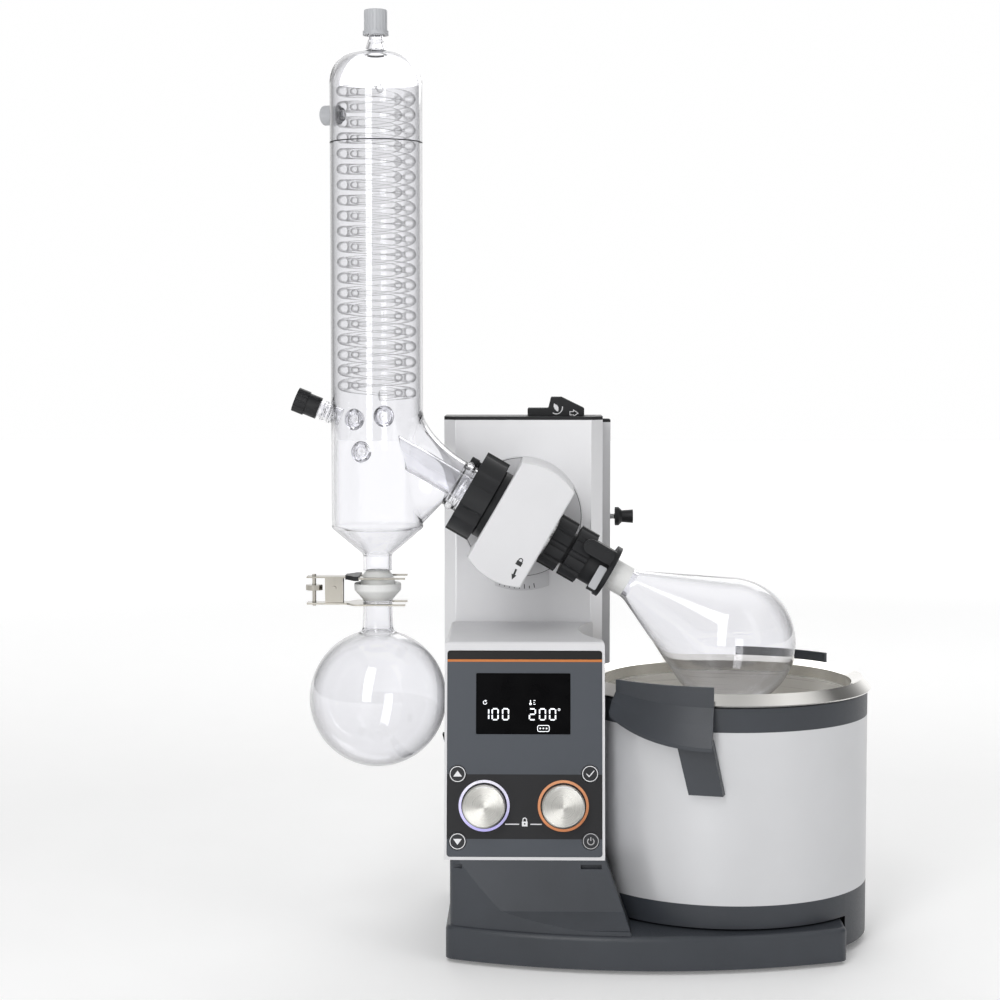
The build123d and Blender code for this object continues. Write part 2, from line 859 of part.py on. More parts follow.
# Depth stop knob
with BuildPart() as depth_stop:
    stop_flare = stop_flange_radius - stop_grip_radius
    stop = Plane(origin=(column_right, stop_y, stop_z), x_dir=(1, 0, 0), z_dir=(0, -1, 0))
    stop_shape = outline(
        stop,
        (0, 0),
        (0, stop_stem_radius),
        (stop_stem_end - column_right, stop_stem_radius),
        (stop_stem_end - column_right, stop_flange_radius),
        (stop_flange_end - column_right - stop_flare / 2, stop_flange_radius),
        (stop_flange_end - column_right + stop_flare / 2, stop_grip_radius),
        (stop_grip_end - column_right, stop_grip_radius + stop_flare / 4),
        (stop_grip_end - column_right, 0),
    )
    revolve(stop_shape, axis=Axis((column_right, stop_y, stop_z), (1, 0, 0)))
save(depth_stop, "depth_stop")

# Pivot disc on the tower, with the boss that reaches the carriage plate
with BuildPart() as pivot_disc:
    with BuildSketch(Plane.XZ.offset(-cover_front)):
        with Locations((pivot_x, pivot_z)):
            Circle(disc_radius)
    extrude(amount=cover_front - head_back - slide_gap)
    chamfer(pivot_disc.edges().group_by(Axis.Y)[0], cover_wall / 3)
    with BuildSketch(Plane.XZ.offset(-cover_front)):
        with Locations((pivot_x, pivot_z)):
            Circle(scale_radius)
            Rectangle(
                scale_width,
                scale_radius,
                align=(Align.CENTER, Align.MAX),
                mode=Mode.INTERSECT,
            )
    extrude(amount=scale_thick)
    with BuildSketch(Plane.XZ.offset(-cover_front)):
        with Locations((pivot_x, pivot_z)):
            Circle(disc_boss_radius)
    extrude(amount=-cover_wall)
    with BuildSketch(Plane.XZ.offset(-cover_front - cover_wall)):
        with Locations((pivot_x, pivot_z)):
            Circle(hub_pin_radius + fit_gap)
    extrude(amount=cover_front + cover_wall - head_back, mode=Mode.SUBTRACT)
save(pivot_disc, "pivot_disc")

# Head housing: a drum with two flats, bored for the bearings, with the pin it tilts on
with BuildPart() as head_housing:
    with BuildSketch(spin.offset(head_front)):
        Circle(head_radius)
        Rectangle(2 * head_half, 2 * head_radius, mode=Mode.INTERSECT)
    extrude(amount=-head_front - head_back)
    with BuildSketch(spin.offset(head_front - head_wall)):
        Circle(head_radius - head_wall)
        Rectangle(2 * head_cavity_half, 2 * head_radius, mode=Mode.INTERSECT)
    extrude(amount=2 * head_wall - head_front - head_back, mode=Mode.SUBTRACT)
    with BuildSketch(spin_at(-head_half)):
        Circle(bearing_radius)
    extrude(amount=2 * head_half, mode=Mode.SUBTRACT)
    with BuildSketch(spin.offset(-head_back)):
        Circle(hub_pin_radius)
    extrude(amount=head_back - hub_pin_end)
    fillet(head_housing.faces().sort_by(Axis.Y)[0].edges(), head_wall / 2)
save(head_housing, "head_housing")

with BuildPart() as head_bearings:
    for start, end in ((-head_half, -head_cavity_half), (head_cavity_half, head_half)):
        race = outline(spin, *ring(start, end, hub_radius + fit_gap, bearing_radius - fit_gap))
        revolve(race, axis=spin_axis)
save(head_bearings, "head_bearings")

with BuildPart() as head_flange:
    flange_shape = outline(
        spin,
        (-head_half, hub_radius + slide_gap),
        (-head_half, flange_radius),
        ((flange_end - head_half) / 2, flange_radius),
        (flange_end, flange_front_radius),
        (flange_end, seal_radius + fit_gap),
        (seal_end, seal_radius + fit_gap),
        (seal_end, hub_radius + slide_gap),
    )
    revolve(flange_shape, axis=spin_axis)
save(head_flange, "head_flange")

with BuildPart() as vapour_seal:
    revolve(outline(spin, *ring(flange_end, seal_end, vapour_radius + fit_gap, seal_radius)), axis=spin_axis)
save(vapour_seal, "vapour_seal")

# Drive: motor on the cavity wall, pulley on its shaft, belt to the rotor pulley
with BuildPart() as drive_motor:
    with BuildSketch(spin_at(head_cavity_half)):
        with Locations((0, -motor_offset)):
            Circle(motor_radius)
    extrude(amount=pulley_half + pulley_lip - head_cavity_half)
    with BuildSketch(spin_at(head_cavity_half)):
        with Locations((0, -motor_offset)):
            Circle(motor_shaft_radius)
    extrude(amount=-head_cavity_half - pulley_half)
save(drive_motor, "drive_motor")

with BuildPart() as motor_pulley:
    with BuildSketch(spin_at(-pulley_half)):
        with Locations((0, -motor_offset)):
            Circle(motor_pulley_radius)
            Circle(motor_shaft_radius + fit_gap, mode=Mode.SUBTRACT)
    extrude(amount=2 * pulley_half)
save(motor_pulley, "motor_pulley")

with BuildPart() as drive_belt:
    with BuildSketch(spin_at(-belt_half)):
        Circle(pulley_radius + slide_gap + belt_thick)
        with Locations((0, -motor_offset)):
            Circle(motor_pulley_radius + slide_gap + belt_thick)
        make_hull()
    extrude(amount=2 * belt_half)
    with BuildSketch(spin_at(-belt_half)):
        Circle(pulley_radius + slide_gap)
        with Locations((0, -motor_offset)):
            Circle(motor_pulley_radius + slide_gap)
        make_hull()
    extrude(amount=2 * belt_half, mode=Mode.SUBTRACT)
save(drive_belt, "drive_belt")

# Rotor: hollow hub with its pulley, coupling nut, clip and glass
with BuildPart() as rotor_hub:
    bore = vapour_radius + slide_gap
    revolve(outline(spin, *ring(hub_start, hub_end, bore, hub_radius)), axis=spin_axis)
    revolve(outline(spin, *ring(-pulley_half, pulley_half, bore, pulley_radius)), axis=spin_axis)
save(rotor_hub, "rotor_hub")


def grip(plane, radius, inner, length, grooves, groove, depth):
    """Hand nut: a ring with grooves of a radius and depth cut down its rim."""
    with BuildPart() as nut:
        with BuildSketch(plane):
            Circle(radius)
            with PolarLocations(radius + groove - depth, grooves):
                Circle(groove, mode=Mode.SUBTRACT)
            Circle(inner, mode=Mode.SUBTRACT)
        extrude(amount=length)
    return nut


coupling_nut = grip(
    spin_at(coupling_start),
    coupling_radius,
    hub_radius + fit_gap,
    coupling_end - coupling_start,
    coupling_ribs,
    coupling_groove,
    coupling_groove_depth,
)
save(coupling_nut, "coupling_nut")

clip_ring = grip(
    spin_at(clip_ring_start),
    coupling_radius,
    clip_sleeve_radius + fit_gap,
    clip_ring_end - clip_ring_start,
    coupling_ribs,
    coupling_groove,
    coupling_groove_depth,
)
save(clip_ring, "clip_ring")

with BuildPart() as clip_body:
    clip_shape = outline(
        spin,
        (hub_end, vapour_radius + slide_gap),
        (hub_end, clip_sleeve_radius),
        (clip_ring_end + slide_gap, clip_sleeve_radius),
        (clip_ring_end + slide_gap, clip_waist_radius),
        (clip_plate_start, clip_waist_radius),
        (clip_plate_start, coupling_radius),
        (clip_plate_end, coupling_radius),
        (clip_plate_end, flask_neck_radius + slide_gap),
        (flask_neck_start - slide_gap, flask_neck_radius + slide_gap),
        (flask_neck_start - slide_gap, vapour_radius + slide_gap),
    )
    revolve(clip_shape, axis=spin_axis)
    lever_lift = coupling_radius + slide_gap
    lever_foot = (clip_ring_end + slide_gap + clip_plate_start) / 2
    with BuildSketch(spin.offset(clip_foot_lift)):
        with Locations((lever_foot, clip_lever_side)):
            Rectangle(clip_plate_start - clip_ring_end - slide_gap, clip_lever_width)
    extrude(amount=lever_lift - clip_foot_lift)
    with BuildSketch(spin.offset(lever_lift)):
        with Locations(((clip_lever_start + clip_plate_start) / 2, clip_lever_side)):
            SlotOverall(clip_plate_start - clip_lever_start, clip_lever_width)
    extrude(amount=clip_lever_thick)
    lever_dots = [
        (clip_lever_start + clip_lever_width / 2, clip_lever_side),
        (clip_plate_start - clip_lever_width / 2, clip_lever_side),
    ]
    with BuildSketch(spin.offset(lever_lift + clip_lever_thick)):
        with Locations(*lever_dots):
            Circle(clip_dot_radius)
    extrude(amount=clip_dot_proud)
    pad_length, pad_width, pad_proud = clip_pad_size
    with BuildSketch(spin.offset(clip_sleeve_radius)):
        with Locations((clip_plate_start - pad_length / 2, -pad_width / 2)):
            Rectangle(pad_length, pad_width)
    extrude(amount=clip_waist_radius + pad_proud - clip_sleeve_radius)
save(clip_body, "clip_body")

with BuildPart() as vapour_tube:
    tube_wall = ring(vapour_start, vapour_end, vapour_radius - vapour_wall, vapour_radius)
    revolve(outline(spin, *tube_wall), axis=spin_axis)
    bevel = outline(
        spin,
        (vapour_start, -vapour_radius),
        (vapour_start, vapour_radius),
        (vapour_start + vapour_bevel, -vapour_radius),
    )
    extrude(bevel, amount=2 * vapour_radius, both=True, mode=Mode.SUBTRACT)
save(vapour_tube, "vapour_tube")

# Evaporating flask: ground neck, cone tangent to the bulb
flask_span = hypot(flask_centre - flask_neck_end, flask_neck_radius)
flask_turn = asin(flask_radius / flask_span) - atan2(flask_neck_radius, flask_centre - flask_neck_end)


def flask_tangent(inset):
    """Point where the cone of the flask meets the bulb, on a skin moved inwards by an inset."""
    radius = flask_radius - inset
    return flask_centre - radius * sin(flask_turn), radius * cos(flask_turn)


def flask_skin(inset, start):
    """Half outline of the flask, on a skin moved inwards by an inset."""
    radius = flask_radius - inset
    cone = flask_tangent(inset)
    neck = flask_neck_radius - inset
    side = degrees(flask_turn)
    with BuildSketch(spin) as half:
        with BuildLine():
            Polyline((flask_centre + radius, 0), (start, 0), (start, neck), (flask_neck_end, neck), cone)
            CenterArc((flask_centre, 0), radius, 0, 90 + side)
        make_face()
    return half.sketch


with BuildPart() as evaporating_flask:
    revolve(flask_skin(0, flask_neck_start), axis=spin_axis)
    revolve(flask_skin(flask_wall, flask_neck_start - flask_wall), axis=spin_axis, mode=Mode.SUBTRACT)
save(evaporating_flask, "evaporating_flask")

# Condenser jacket: shouldered tube with a ball outlet, a flared arm and side ports
def jacket_skin(inset, low):
    """Half outline of the condenser jacket, on a skin moved inwards by an inset."""
    body = condenser_radius - inset
    neck = condenser_neck_radius - inset * 0.7
    outlet = outlet_radius - inset
    shoulder = (body + neck) / 2
    crown_rise = condenser_crown - inset - condenser_high
    with BuildSketch(tower_section) as half:
        with BuildLine():
            Polyline(
                (neck, condenser_crown - inset),
                (neck, condenser_neck_top),
                (0, condenser_neck_top),
                (0, low),
                (outlet, low),
                (outlet, condenser_cone_low + inset / 2),
                (body, condenser_low + inset / 2),
                (body, condenser_high),
            )
            ThreePointArc(
                (body, condenser_high),
                (shoulder + (body - neck) / 4, condenser_high + crown_rise * crown_bulge),
                (neck, condenser_crown - inset),
            )
        make_face()
    return half.sketch


def port_plane(offset_x, height):
    """Plane facing the back, at a port of the condenser."""
    return Plane(origin=(condenser_x + offset_x, 0, height), x_dir=(-1, 0, 0), z_dir=(0, 1, 0))


vent = Plane(origin=(condenser_x, 0, vent_z), x_dir=(0, 0, 1), z_dir=vent_dir)
feed_out = Plane(origin=(condenser_x, 0, feed_z), x_dir=(0, 1, 0), z_dir=feed_dir)
flare = Plane.YZ.offset(condenser_x + flare_offset)
arm_start = flange_end - slide_gap
port_stub = condenser_radius / 2


def disc(plane, radius):
    """Round face on a plane."""
    with BuildSketch(plane) as shape:
        Circle(radius)
    return shape.sketch


def arm_flare(inset):
    """Funnel between the arm and the side of the condenser, moved inwards by an inset."""
    with BuildPart() as funnel:
        with BuildSketch(spin_at(arm_flare_start)):
            Circle(arm_radius - inset)
        with BuildSketch(flare):
            with Locations((0, (flare_low + flare_high) / 2)):
                Ellipse(flare_half_width - inset, (flare_high - flare_low) / 2 - inset)
        loft()
    return funnel.part


with BuildPart() as condenser_jacket:
    revolve(jacket_skin(0, joint_z), axis=condenser_axis)
    add(arm_flare(0))
    arm_shape = outline(
        spin,
        (arm_flare_start, 0),
        (arm_start, 0),
        (arm_start, arm_flange_radius),
        (arm_start - arm_flange_thick, arm_flange_radius),
        (arm_start - arm_flange_thick, arm_radius),
        (nut_start - slide_gap, arm_radius),
        (nut_start - slide_gap, arm_bead_radius),
        (arm_bead_end, arm_bead_radius),
        (arm_bead_end, arm_radius),
        (arm_flare_start, arm_radius),
    )
    revolve(arm_shape, axis=spin_axis)
    with Locations((condenser_x, 0, joint_z)):
        Sphere(ball_radius)
    for port in port_places:
        extrude(disc(port_plane(*port).offset(port_stub), port_radius), amount=port_end - port_stub)
    extrude(disc(vent.offset(port_stub), vent_radius), amount=vent_tube_end - port_stub)
    extrude(disc(feed_out.offset(port_stub), feed_radius), amount=feed_tube_end - port_stub)
    revolve(jacket_skin(condenser_wall, joint_z - 2 * ball_radius), axis=condenser_axis, mode=Mode.SUBTRACT)
    add(arm_flare(condenser_wall), mode=Mode.SUBTRACT)
    arm_bore = disc(spin_at(arm_start), arm_radius - arm_wall)
    extrude(arm_bore, amount=arm_flare_start - arm_start, mode=Mode.SUBTRACT)
    for port in port_places:
        bore = disc(port_plane(*port).offset(port_stub), port_radius - port_wall)
        extrude(bore, amount=port_end - port_stub, mode=Mode.SUBTRACT)
    vent_bore = disc(vent.offset(port_stub), vent_radius - port_wall)
    extrude(vent_bore, amount=vent_tube_end, mode=Mode.SUBTRACT)
    feed_bore = disc(feed_out.offset(port_stub), feed_radius - feed_wall)
    extrude(feed_bore, amount=feed_tube_end, mode=Mode.SUBTRACT)
save(condenser_jacket, "condenser_jacket")

# Cooling coils, each with a tail fused to the back wall of the jacket
jacket_inside = condenser_radius - condenser_wall - slide_gap
coils = {
    "outer_coil": (coil_radius, coil_tube, coil_low),
    "inner_coil": (inner_coil_radius, inner_coil_tube, inner_coil_low),
}


def coil_path(turn_radius, low):
    """Rising half turns, each a plain arc that starts and ends along X, so they meet smoothly."""
    rise = coil_pitch / 2
    bow = hypot(turn_radius, rise / 2)
    with BuildLine() as path:
        for k in range(2 * coil_turns):
            side = 1 if k % 2 == 0 else -1
            ThreePointArc(
                (condenser_x, side * turn_radius, low + k * rise),
                (condenser_x + side * bow, 0, low + (k + 0.5) * rise),
                (condenser_x, -side * turn_radius, low + (k + 1) * rise),
            )
    return path.line


for coil_name, (turn_radius, tube, low) in coils.items():
    with BuildPart() as coil:
        coil_line = coil_path(turn_radius, low)
        with BuildSketch(Plane(origin=coil_line @ 0, x_dir=(0, 1, 0), z_dir=coil_line % 0)):
            RegularPolygon(tube, coil_sides)
        sweep(path=coil_line)
        tail_plane = Plane(origin=(condenser_x, turn_radius, low), x_dir=(1, 0, 0), z_dir=(0, 1, 0))
        extrude(disc(tail_plane, tube), amount=sqrt(jacket_inside**2 - tube**2) - turn_radius)
        with Locations((condenser_x, turn_radius, low)):
            Sphere(tube)
    save(coil, coil_name)

# Caps and hose nipples of the condenser
with BuildPart() as top_cap:
    cap_shape = outline(
        tower_section,
        (0, condenser_neck_top + slide_gap),
        (condenser_neck_radius + fit_gap, condenser_neck_top + slide_gap),
        (condenser_neck_radius + fit_gap, top_cap_low),
        (top_cap_ring, top_cap_low),
        (top_cap_ring, top_cap_low + top_cap_ring_height),
        (top_cap_radius, top_cap_low + top_cap_ring_height),
        (top_cap_radius, top_cap_top),
        (0, top_cap_top),
    )
    revolve(cap_shape, axis=condenser_axis)
    fillet(top_cap.edges().group_by(Axis.Z)[-1], top_cap_radius / 8)
    with BuildSketch(Plane.XY.offset(top_cap_low + top_cap_ring_height)):
        with Locations((condenser_x, 0)):
            with PolarLocations(top_cap_radius + top_cap_groove / 2, top_cap_ribs):
                Circle(top_cap_groove)
    extrude(amount=top_cap_height, mode=Mode.SUBTRACT)
save(top_cap, "top_cap")

with BuildPart() as vent_cap:
    vent_cap_start = vent_tube_end - port_radius
    extrude(disc(vent.offset(vent_cap_start), vent_cap_radius), amount=vent_cap_end - vent_cap_start)
    vent_socket = disc(vent.offset(vent_cap_start), vent_radius + fit_gap)
    extrude(vent_socket, amount=port_radius, mode=Mode.SUBTRACT)
save(vent_cap, "vent_cap")

with BuildPart() as hose_nipples:
    nipple_collar = port_radius + port_wall
    for offset_x, height in port_places:
        nipple = Plane(origin=(condenser_x + offset_x, port_end, height), x_dir=(0, 1, 0), z_dir=(1, 0, 0))
        barb = outline(
            nipple,
            (-port_radius, port_radius + fit_gap),
            (-port_radius, nipple_collar),
            (port_wall, nipple_collar),
            (port_wall, nipple_radius - port_wall / 2),
            (nipple_end - port_end - nipple_collar, nipple_radius - port_wall / 2),
            (nipple_end - port_end - nipple_collar, nipple_radius),
            (nipple_end - port_end, nipple_radius - port_wall / 2),
            (nipple_end - port_end, nipple_bore),
            (0, nipple_bore),
            (0, port_radius + fit_gap),
        )
        revolve(barb, axis=Axis(nipple.origin, (0, 1, 0)))
save(hose_nipples, "hose_nipples")

feed_cap = grip(
    feed_out.offset(feed_cap_step),
    feed_cap_radius,
    feed_radius + fit_gap,
    feed_cap_end - feed_cap_step,
    feed_cap_ribs,
    feed_cap_groove,
    feed_cap_groove / 2,
)
feed_skirt = grip(
    feed_out.offset(feed_cap_start),
    feed_cap_radius - feed_cap_groove,
    feed_radius + fit_gap,
    feed_cap_step - feed_cap_start,
    feed_cap_ribs,
    feed_cap_groove,
    feed_cap_groove / 2,
)
with feed_cap:
    add(feed_skirt.part)
    lid_start = feed_tube_end + slide_gap
    lid = disc(feed_out.offset(lid_start), feed_cap_radius - feed_wall / 2)
    extrude(lid, amount=feed_cap_end - lid_start)
save(feed_cap, "feed_cap")

# Union nut that holds the condenser on the head
condenser_nut = grip(
    spin_at(nut_start),
    nut_radius,
    flange_radius + slide_gap,
    nut_end - nut_start,
    nut_lobes,
    nut_groove,
    nut_groove_depth,
)
with condenser_nut:
    nut_face = ring(nut_start, nut_start + nut_lip, arm_radius + slide_gap, flange_radius + nut_lip / 2)
    revolve(outline(spin, *nut_face), axis=spin_axis)
save(condenser_nut, "condenser_nut")

# Receiving flask with the cup of the ball joint
with BuildPart() as receiving_flask:
    sphere_top = receiver_centre + sqrt(receiver_radius**2 - outlet_radius**2)
    with BuildSketch(tower_section) as receiver_half:
        with BuildLine():
            ThreePointArc(
                (0, receiver_centre - receiver_radius),
                (receiver_radius, receiver_centre),
                (outlet_radius, sphere_top),
            )
            Polyline(
                (outlet_radius, sphere_top),
                (outlet_radius, cup_low),
                (cup_rim_radius, (cup_low + 2 * cup_rim_top) / 3),
                (cup_rim_radius, cup_rim_top),
                (0, cup_rim_top),
                (0, receiver_centre - receiver_radius),
            )
        make_face()
        fillet(receiver_half.vertices().sort_by_distance((outlet_radius, sphere_top))[0], neck_fillet)
    revolve(axis=condenser_axis)
    with Locations((condenser_x, 0, joint_z)):
        Sphere(ball_radius + slide_gap, mode=Mode.SUBTRACT)
    with Locations((condenser_x, 0, receiver_centre)):
        Sphere(receiver_radius - receiver_wall, mode=Mode.SUBTRACT)
        Cylinder(
            outlet_radius - receiver_wall,
            joint_z - receiver_centre,
            align=(Align.CENTER, Align.CENTER, Align.MIN),
            mode=Mode.SUBTRACT,
        )
save(receiving_flask, "receiving_flask")

# Joint clamp: two sheet forks on a pin, drawn together by a thumb screw


def fork(height, slot):
    """Flat of one fork: narrow tail, wide mouth with a round-ended slot."""
    with BuildSketch(Plane.XY.offset(height)) as flat:
        with BuildLine():
            Polyline(
                (condenser_x - fork_tail, fork_tail_width / 2),
                (condenser_x - fork_width / 2 - fork_tail_width / 2, fork_tail_width / 2),
                (condenser_x - fork_width / 2, fork_width / 2),
                (condenser_x + fork_tip, fork_width / 2),
                (condenser_x + fork_tip, -fork_width / 2),
                (condenser_x - fork_width / 2, -fork_width / 2),
                (condenser_x - fork_width / 2 - fork_tail_width / 2, -fork_tail_width / 2),
                (condenser_x - fork_tail, -fork_tail_width / 2),
                close=True,
            )
        make_face()
        with Locations((condenser_x, 0)):
            Circle(slot, mode=Mode.SUBTRACT)
            Rectangle(2 * fork_tip, 2 * slot, align=(Align.MIN, Align.CENTER), mode=Mode.SUBTRACT)
        with Locations((clamp_screw_x, 0)):
            Circle(clamp_screw_radius + fit_gap, mode=Mode.SUBTRACT)
    return flat.sketch


cheek_out = fork_tail_width / 2
cheek_in = cheek_out - fork_thick - slide_gap
with BuildPart() as clamp_upper:
    extrude(fork(fork_upper_z, fork_slot_upper), amount=fork_thick)
    upper_cheek = fork_upper_z - clamp_pin_z + cheek_width / 3
    with Locations((clamp_pin_x, 0, fork_upper_z)):
        with GridLocations(0, 2 * cheek_out - fork_thick, 1, 2):
            Box(cheek_width, fork_thick, upper_cheek, align=(Align.CENTER, Align.CENTER, Align.MAX))
    with BuildSketch(Plane.XZ):
        with Locations((clamp_pin_x, clamp_pin_z)):
            Circle(clamp_pin_radius + fit_gap)
    extrude(amount=fork_width, both=True, mode=Mode.SUBTRACT)
save(clamp_upper, "clamp_upper")

with BuildPart() as clamp_lower:
    extrude(fork(fork_lower_z, outlet_radius + slide_gap), amount=-fork_thick)
    lower_cheek = clamp_pin_z - fork_lower_z + cheek_width / 3
    with Locations((clamp_pin_x, 0, fork_lower_z)):
        with GridLocations(0, 2 * cheek_in - fork_thick, 1, 2):
            Box(cheek_width, fork_thick, lower_cheek, align=(Align.CENTER, Align.CENTER, Align.MIN))
    with BuildSketch(Plane.XZ):
        with Locations((clamp_pin_x, clamp_pin_z)):
            Circle(clamp_pin_radius)
    extrude(amount=cheek_out + fork_thick, both=True)
save(clamp_lower, "clamp_lower")

with BuildPart() as clamp_screw:
    screw_low = fork_lower_z - 2 * fork_thick
    with BuildSketch(Plane.XY.offset(screw_low)):
        with Locations((clamp_screw_x, 0)):
            Circle(clamp_screw_radius)
    extrude(amount=fork_upper_z + 2 * fork_thick - screw_low)
    with BuildSketch(Plane.XY.offset(clamp_wheel_z)):
        with Locations((clamp_screw_x, 0)):
            Circle(clamp_wheel_radius)
    extrude(amount=clamp_wheel_thick)
save(clamp_screw, "clamp_screw")

# Heating bath
with BuildPart() as bath_pan:
    pan_outside = bath_pan_radius + bath_sheet
    with BuildSketch(bath_section) as pan_half:
        with BuildLine():
            Polyline(
                (0, bath_pan_floor),
                (bath_pan_radius, bath_pan_floor),
                (bath_pan_radius, bath_rim_top - bath_lip_drop / 2),
                (bath_ridge_radius, bath_rim_top),
                (bath_lip_radius, bath_rim_top - bath_lip_drop),
                (bath_lip_radius - bath_sheet, bath_rim_top - bath_lip_drop - bath_sheet),
                (bath_ridge_radius, bath_rim_top - 1.5 * bath_sheet),
                (pan_outside, bath_rim_top - bath_lip_drop / 2 - bath_sheet),
                (pan_outside, bath_pan_floor - bath_sheet),
                (0, bath_pan_floor - bath_sheet),
                close=True,
            )
        make_face()
        fillet(pan_half.vertices().sort_by_distance((bath_pan_radius, bath_pan_floor))[0], bath_pan_corner)
        outer_corner = pan_half.vertices().sort_by_distance((pan_outside, bath_pan_floor - bath_sheet))[0]
        fillet(outer_corner, bath_pan_corner + bath_sheet)
    revolve(axis=bath_axis)
save(bath_pan, "bath_pan")

with BuildPart() as bath_heater:
    with Locations((bath_x, 0, bath_pan_floor - bath_sheet)):
        Cylinder(heater_radius, heater_thick, align=(Align.CENTER, Align.CENTER, Align.MAX))
save(bath_heater, "bath_heater")


def bath_ring(low, high, inner, outer):
    """Cross-section of a ring round the bath axis."""
    return outline(bath_section, (inner, low), (outer, low), (outer, high), (inner, high))


band_top = bath_rim_top - bath_lip_drop - 2 * bath_sheet
with BuildPart() as bath_band:
    revolve(bath_ring(bath_band_low, band_top, pan_outside + slide_gap, bath_shell_radius), axis=bath_axis)
save(bath_band, "bath_band")

with BuildPart() as bath_shell:
    shell_inside = bath_shell_radius - bath_shell_wall
    revolve(bath_ring(bath_foot_top, bath_band_low, shell_inside, bath_shell_radius), axis=bath_axis)
save(bath_shell, "bath_shell")

with BuildPart() as bath_foot:
    foot_wall = 2 * bath_shell_wall
    revolve(bath_ring(bath_foot_low, bath_foot_low + foot_wall, 0, bath_shell_radius), axis=bath_axis)
    revolve(
        bath_ring(bath_foot_low, bath_foot_top, bath_shell_radius - foot_wall, bath_shell_radius),
        axis=bath_axis,
    )
    with BuildSketch(Plane.XY.offset(bath_skirt_low)):
        with Locations((bath_x, 0)):
            Circle(bath_shell_radius)
        with Locations((base_right + bath_gap, 0)):
            Rectangle(
                bath_shell_radius,
                2 * bath_shell_radius,
                align=(Align.MIN, Align.CENTER),
                mode=Mode.INTERSECT,
            )
    extrude(amount=bath_foot_top - bath_skirt_low)
    with BuildSketch(Plane.XY.offset(bath_foot_low)):
        with Locations((bath_x, 0)):
            with GridLocations(bath_shell_radius, bath_shell_radius, 2, 2):
                Circle(foot_radius)
    extrude(amount=base_top + slide_gap - bath_foot_low)
save(bath_foot, "bath_foot")

# Bath handles: flared grips lofted round the band, each with a slanted leg on the shell


def handle_section(turn, reach, drop):
    """Cross-section of a handle at an angle from the front, on the plane through the bath axis."""
    out = (sin(radians(turn)), -cos(radians(turn)), 0)
    plane = Plane(origin=(bath_x, 0, 0), x_dir=out, z_dir=(out[1], -out[0], 0))
    inner = bath_shell_radius - bath_shell_wall
    face = bath_lip_radius + handle_plate / 2
    return outline(
        plane,
        (inner, handle_top - drop * 0.6 - handle_plate / 2),
        (inner, band_top),
        (bath_lip_radius + slide_gap, band_top),
        (bath_lip_radius + slide_gap, handle_top),
        (face, handle_top),
        (face, handle_top - drop / 3),
        (face + reach / 3, handle_top - drop * 0.6),
        (bath_shell_radius + reach, handle_top - drop + handle_plate / 2),
        (bath_shell_radius + reach, handle_top - drop),
        (face, handle_top - drop * 0.6 - handle_plate / 2),
    )


handle_mid = (handle_start + handle_end) / 2
with BuildPart() as one_handle:
    loft(
        [
            handle_section(handle_start, handle_reach * 0.6, handle_drop * 0.6),
            handle_section(handle_mid, handle_reach * 0.85, handle_drop * 0.9),
            handle_section(handle_end, handle_reach, handle_drop),
        ]
    )
    leg_turn = handle_end - degrees(handle_leg_width / bath_shell_radius / 2)
    leg_out = (sin(radians(leg_turn)), -cos(radians(leg_turn)), 0)
    leg_plane = Plane(
        origin=(bath_x + leg_out[0] * bath_shell_radius, leg_out[1] * bath_shell_radius, 0),
        x_dir=(-leg_out[1], leg_out[0], 0),
        z_dir=leg_out,
    )
    leg = outline(
        leg_plane,
        (-handle_leg_width / 2, handle_top - handle_drop),
        (handle_leg_width / 2, handle_top - handle_drop + handle_plate),
        (handle_leg_width / 2 + handle_leg_lean, handle_leg_low),
        (handle_leg_lean - handle_leg_width / 2, handle_leg_low),
    )
    extrude(leg, amount=handle_leg_thick)
    with Locations((bath_x, 0, 0)):
        Cylinder(
            bath_shell_radius + fit_gap,
            2 * handle_top,
            mode=Mode.SUBTRACT,
        )
with BuildPart() as bath_handles:
    add(one_handle.part)
    add(one_handle.part.rotate(bath_axis, 180))
save(bath_handles, "bath_handles")
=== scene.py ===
import json
from math import atan2, cos, radians, sin, sqrt, tau

import bmesh
import bpy
from mathutils import Matrix, Vector


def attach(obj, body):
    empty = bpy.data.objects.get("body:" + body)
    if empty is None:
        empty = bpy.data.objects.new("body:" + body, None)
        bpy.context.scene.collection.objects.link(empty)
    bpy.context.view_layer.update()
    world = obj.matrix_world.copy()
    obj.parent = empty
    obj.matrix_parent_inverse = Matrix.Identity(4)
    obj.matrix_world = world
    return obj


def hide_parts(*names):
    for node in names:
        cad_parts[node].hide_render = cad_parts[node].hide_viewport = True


# Rotary evaporator: materials, glass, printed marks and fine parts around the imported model.
# Blender works in metres; sizes below are in millimetres and are scaled by mm where they are used.

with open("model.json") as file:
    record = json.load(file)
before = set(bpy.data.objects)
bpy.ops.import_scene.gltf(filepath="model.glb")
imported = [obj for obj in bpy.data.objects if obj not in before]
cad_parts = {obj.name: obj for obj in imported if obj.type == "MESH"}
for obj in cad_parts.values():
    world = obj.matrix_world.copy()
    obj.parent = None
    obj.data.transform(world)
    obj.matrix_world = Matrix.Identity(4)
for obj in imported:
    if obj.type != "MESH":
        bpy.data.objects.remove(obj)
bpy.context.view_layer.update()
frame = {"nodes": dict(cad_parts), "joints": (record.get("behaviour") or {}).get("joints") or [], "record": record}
nodes = frame["nodes"]
joint = {j["name"]: j for j in frame["joints"]}
mm = 0.001

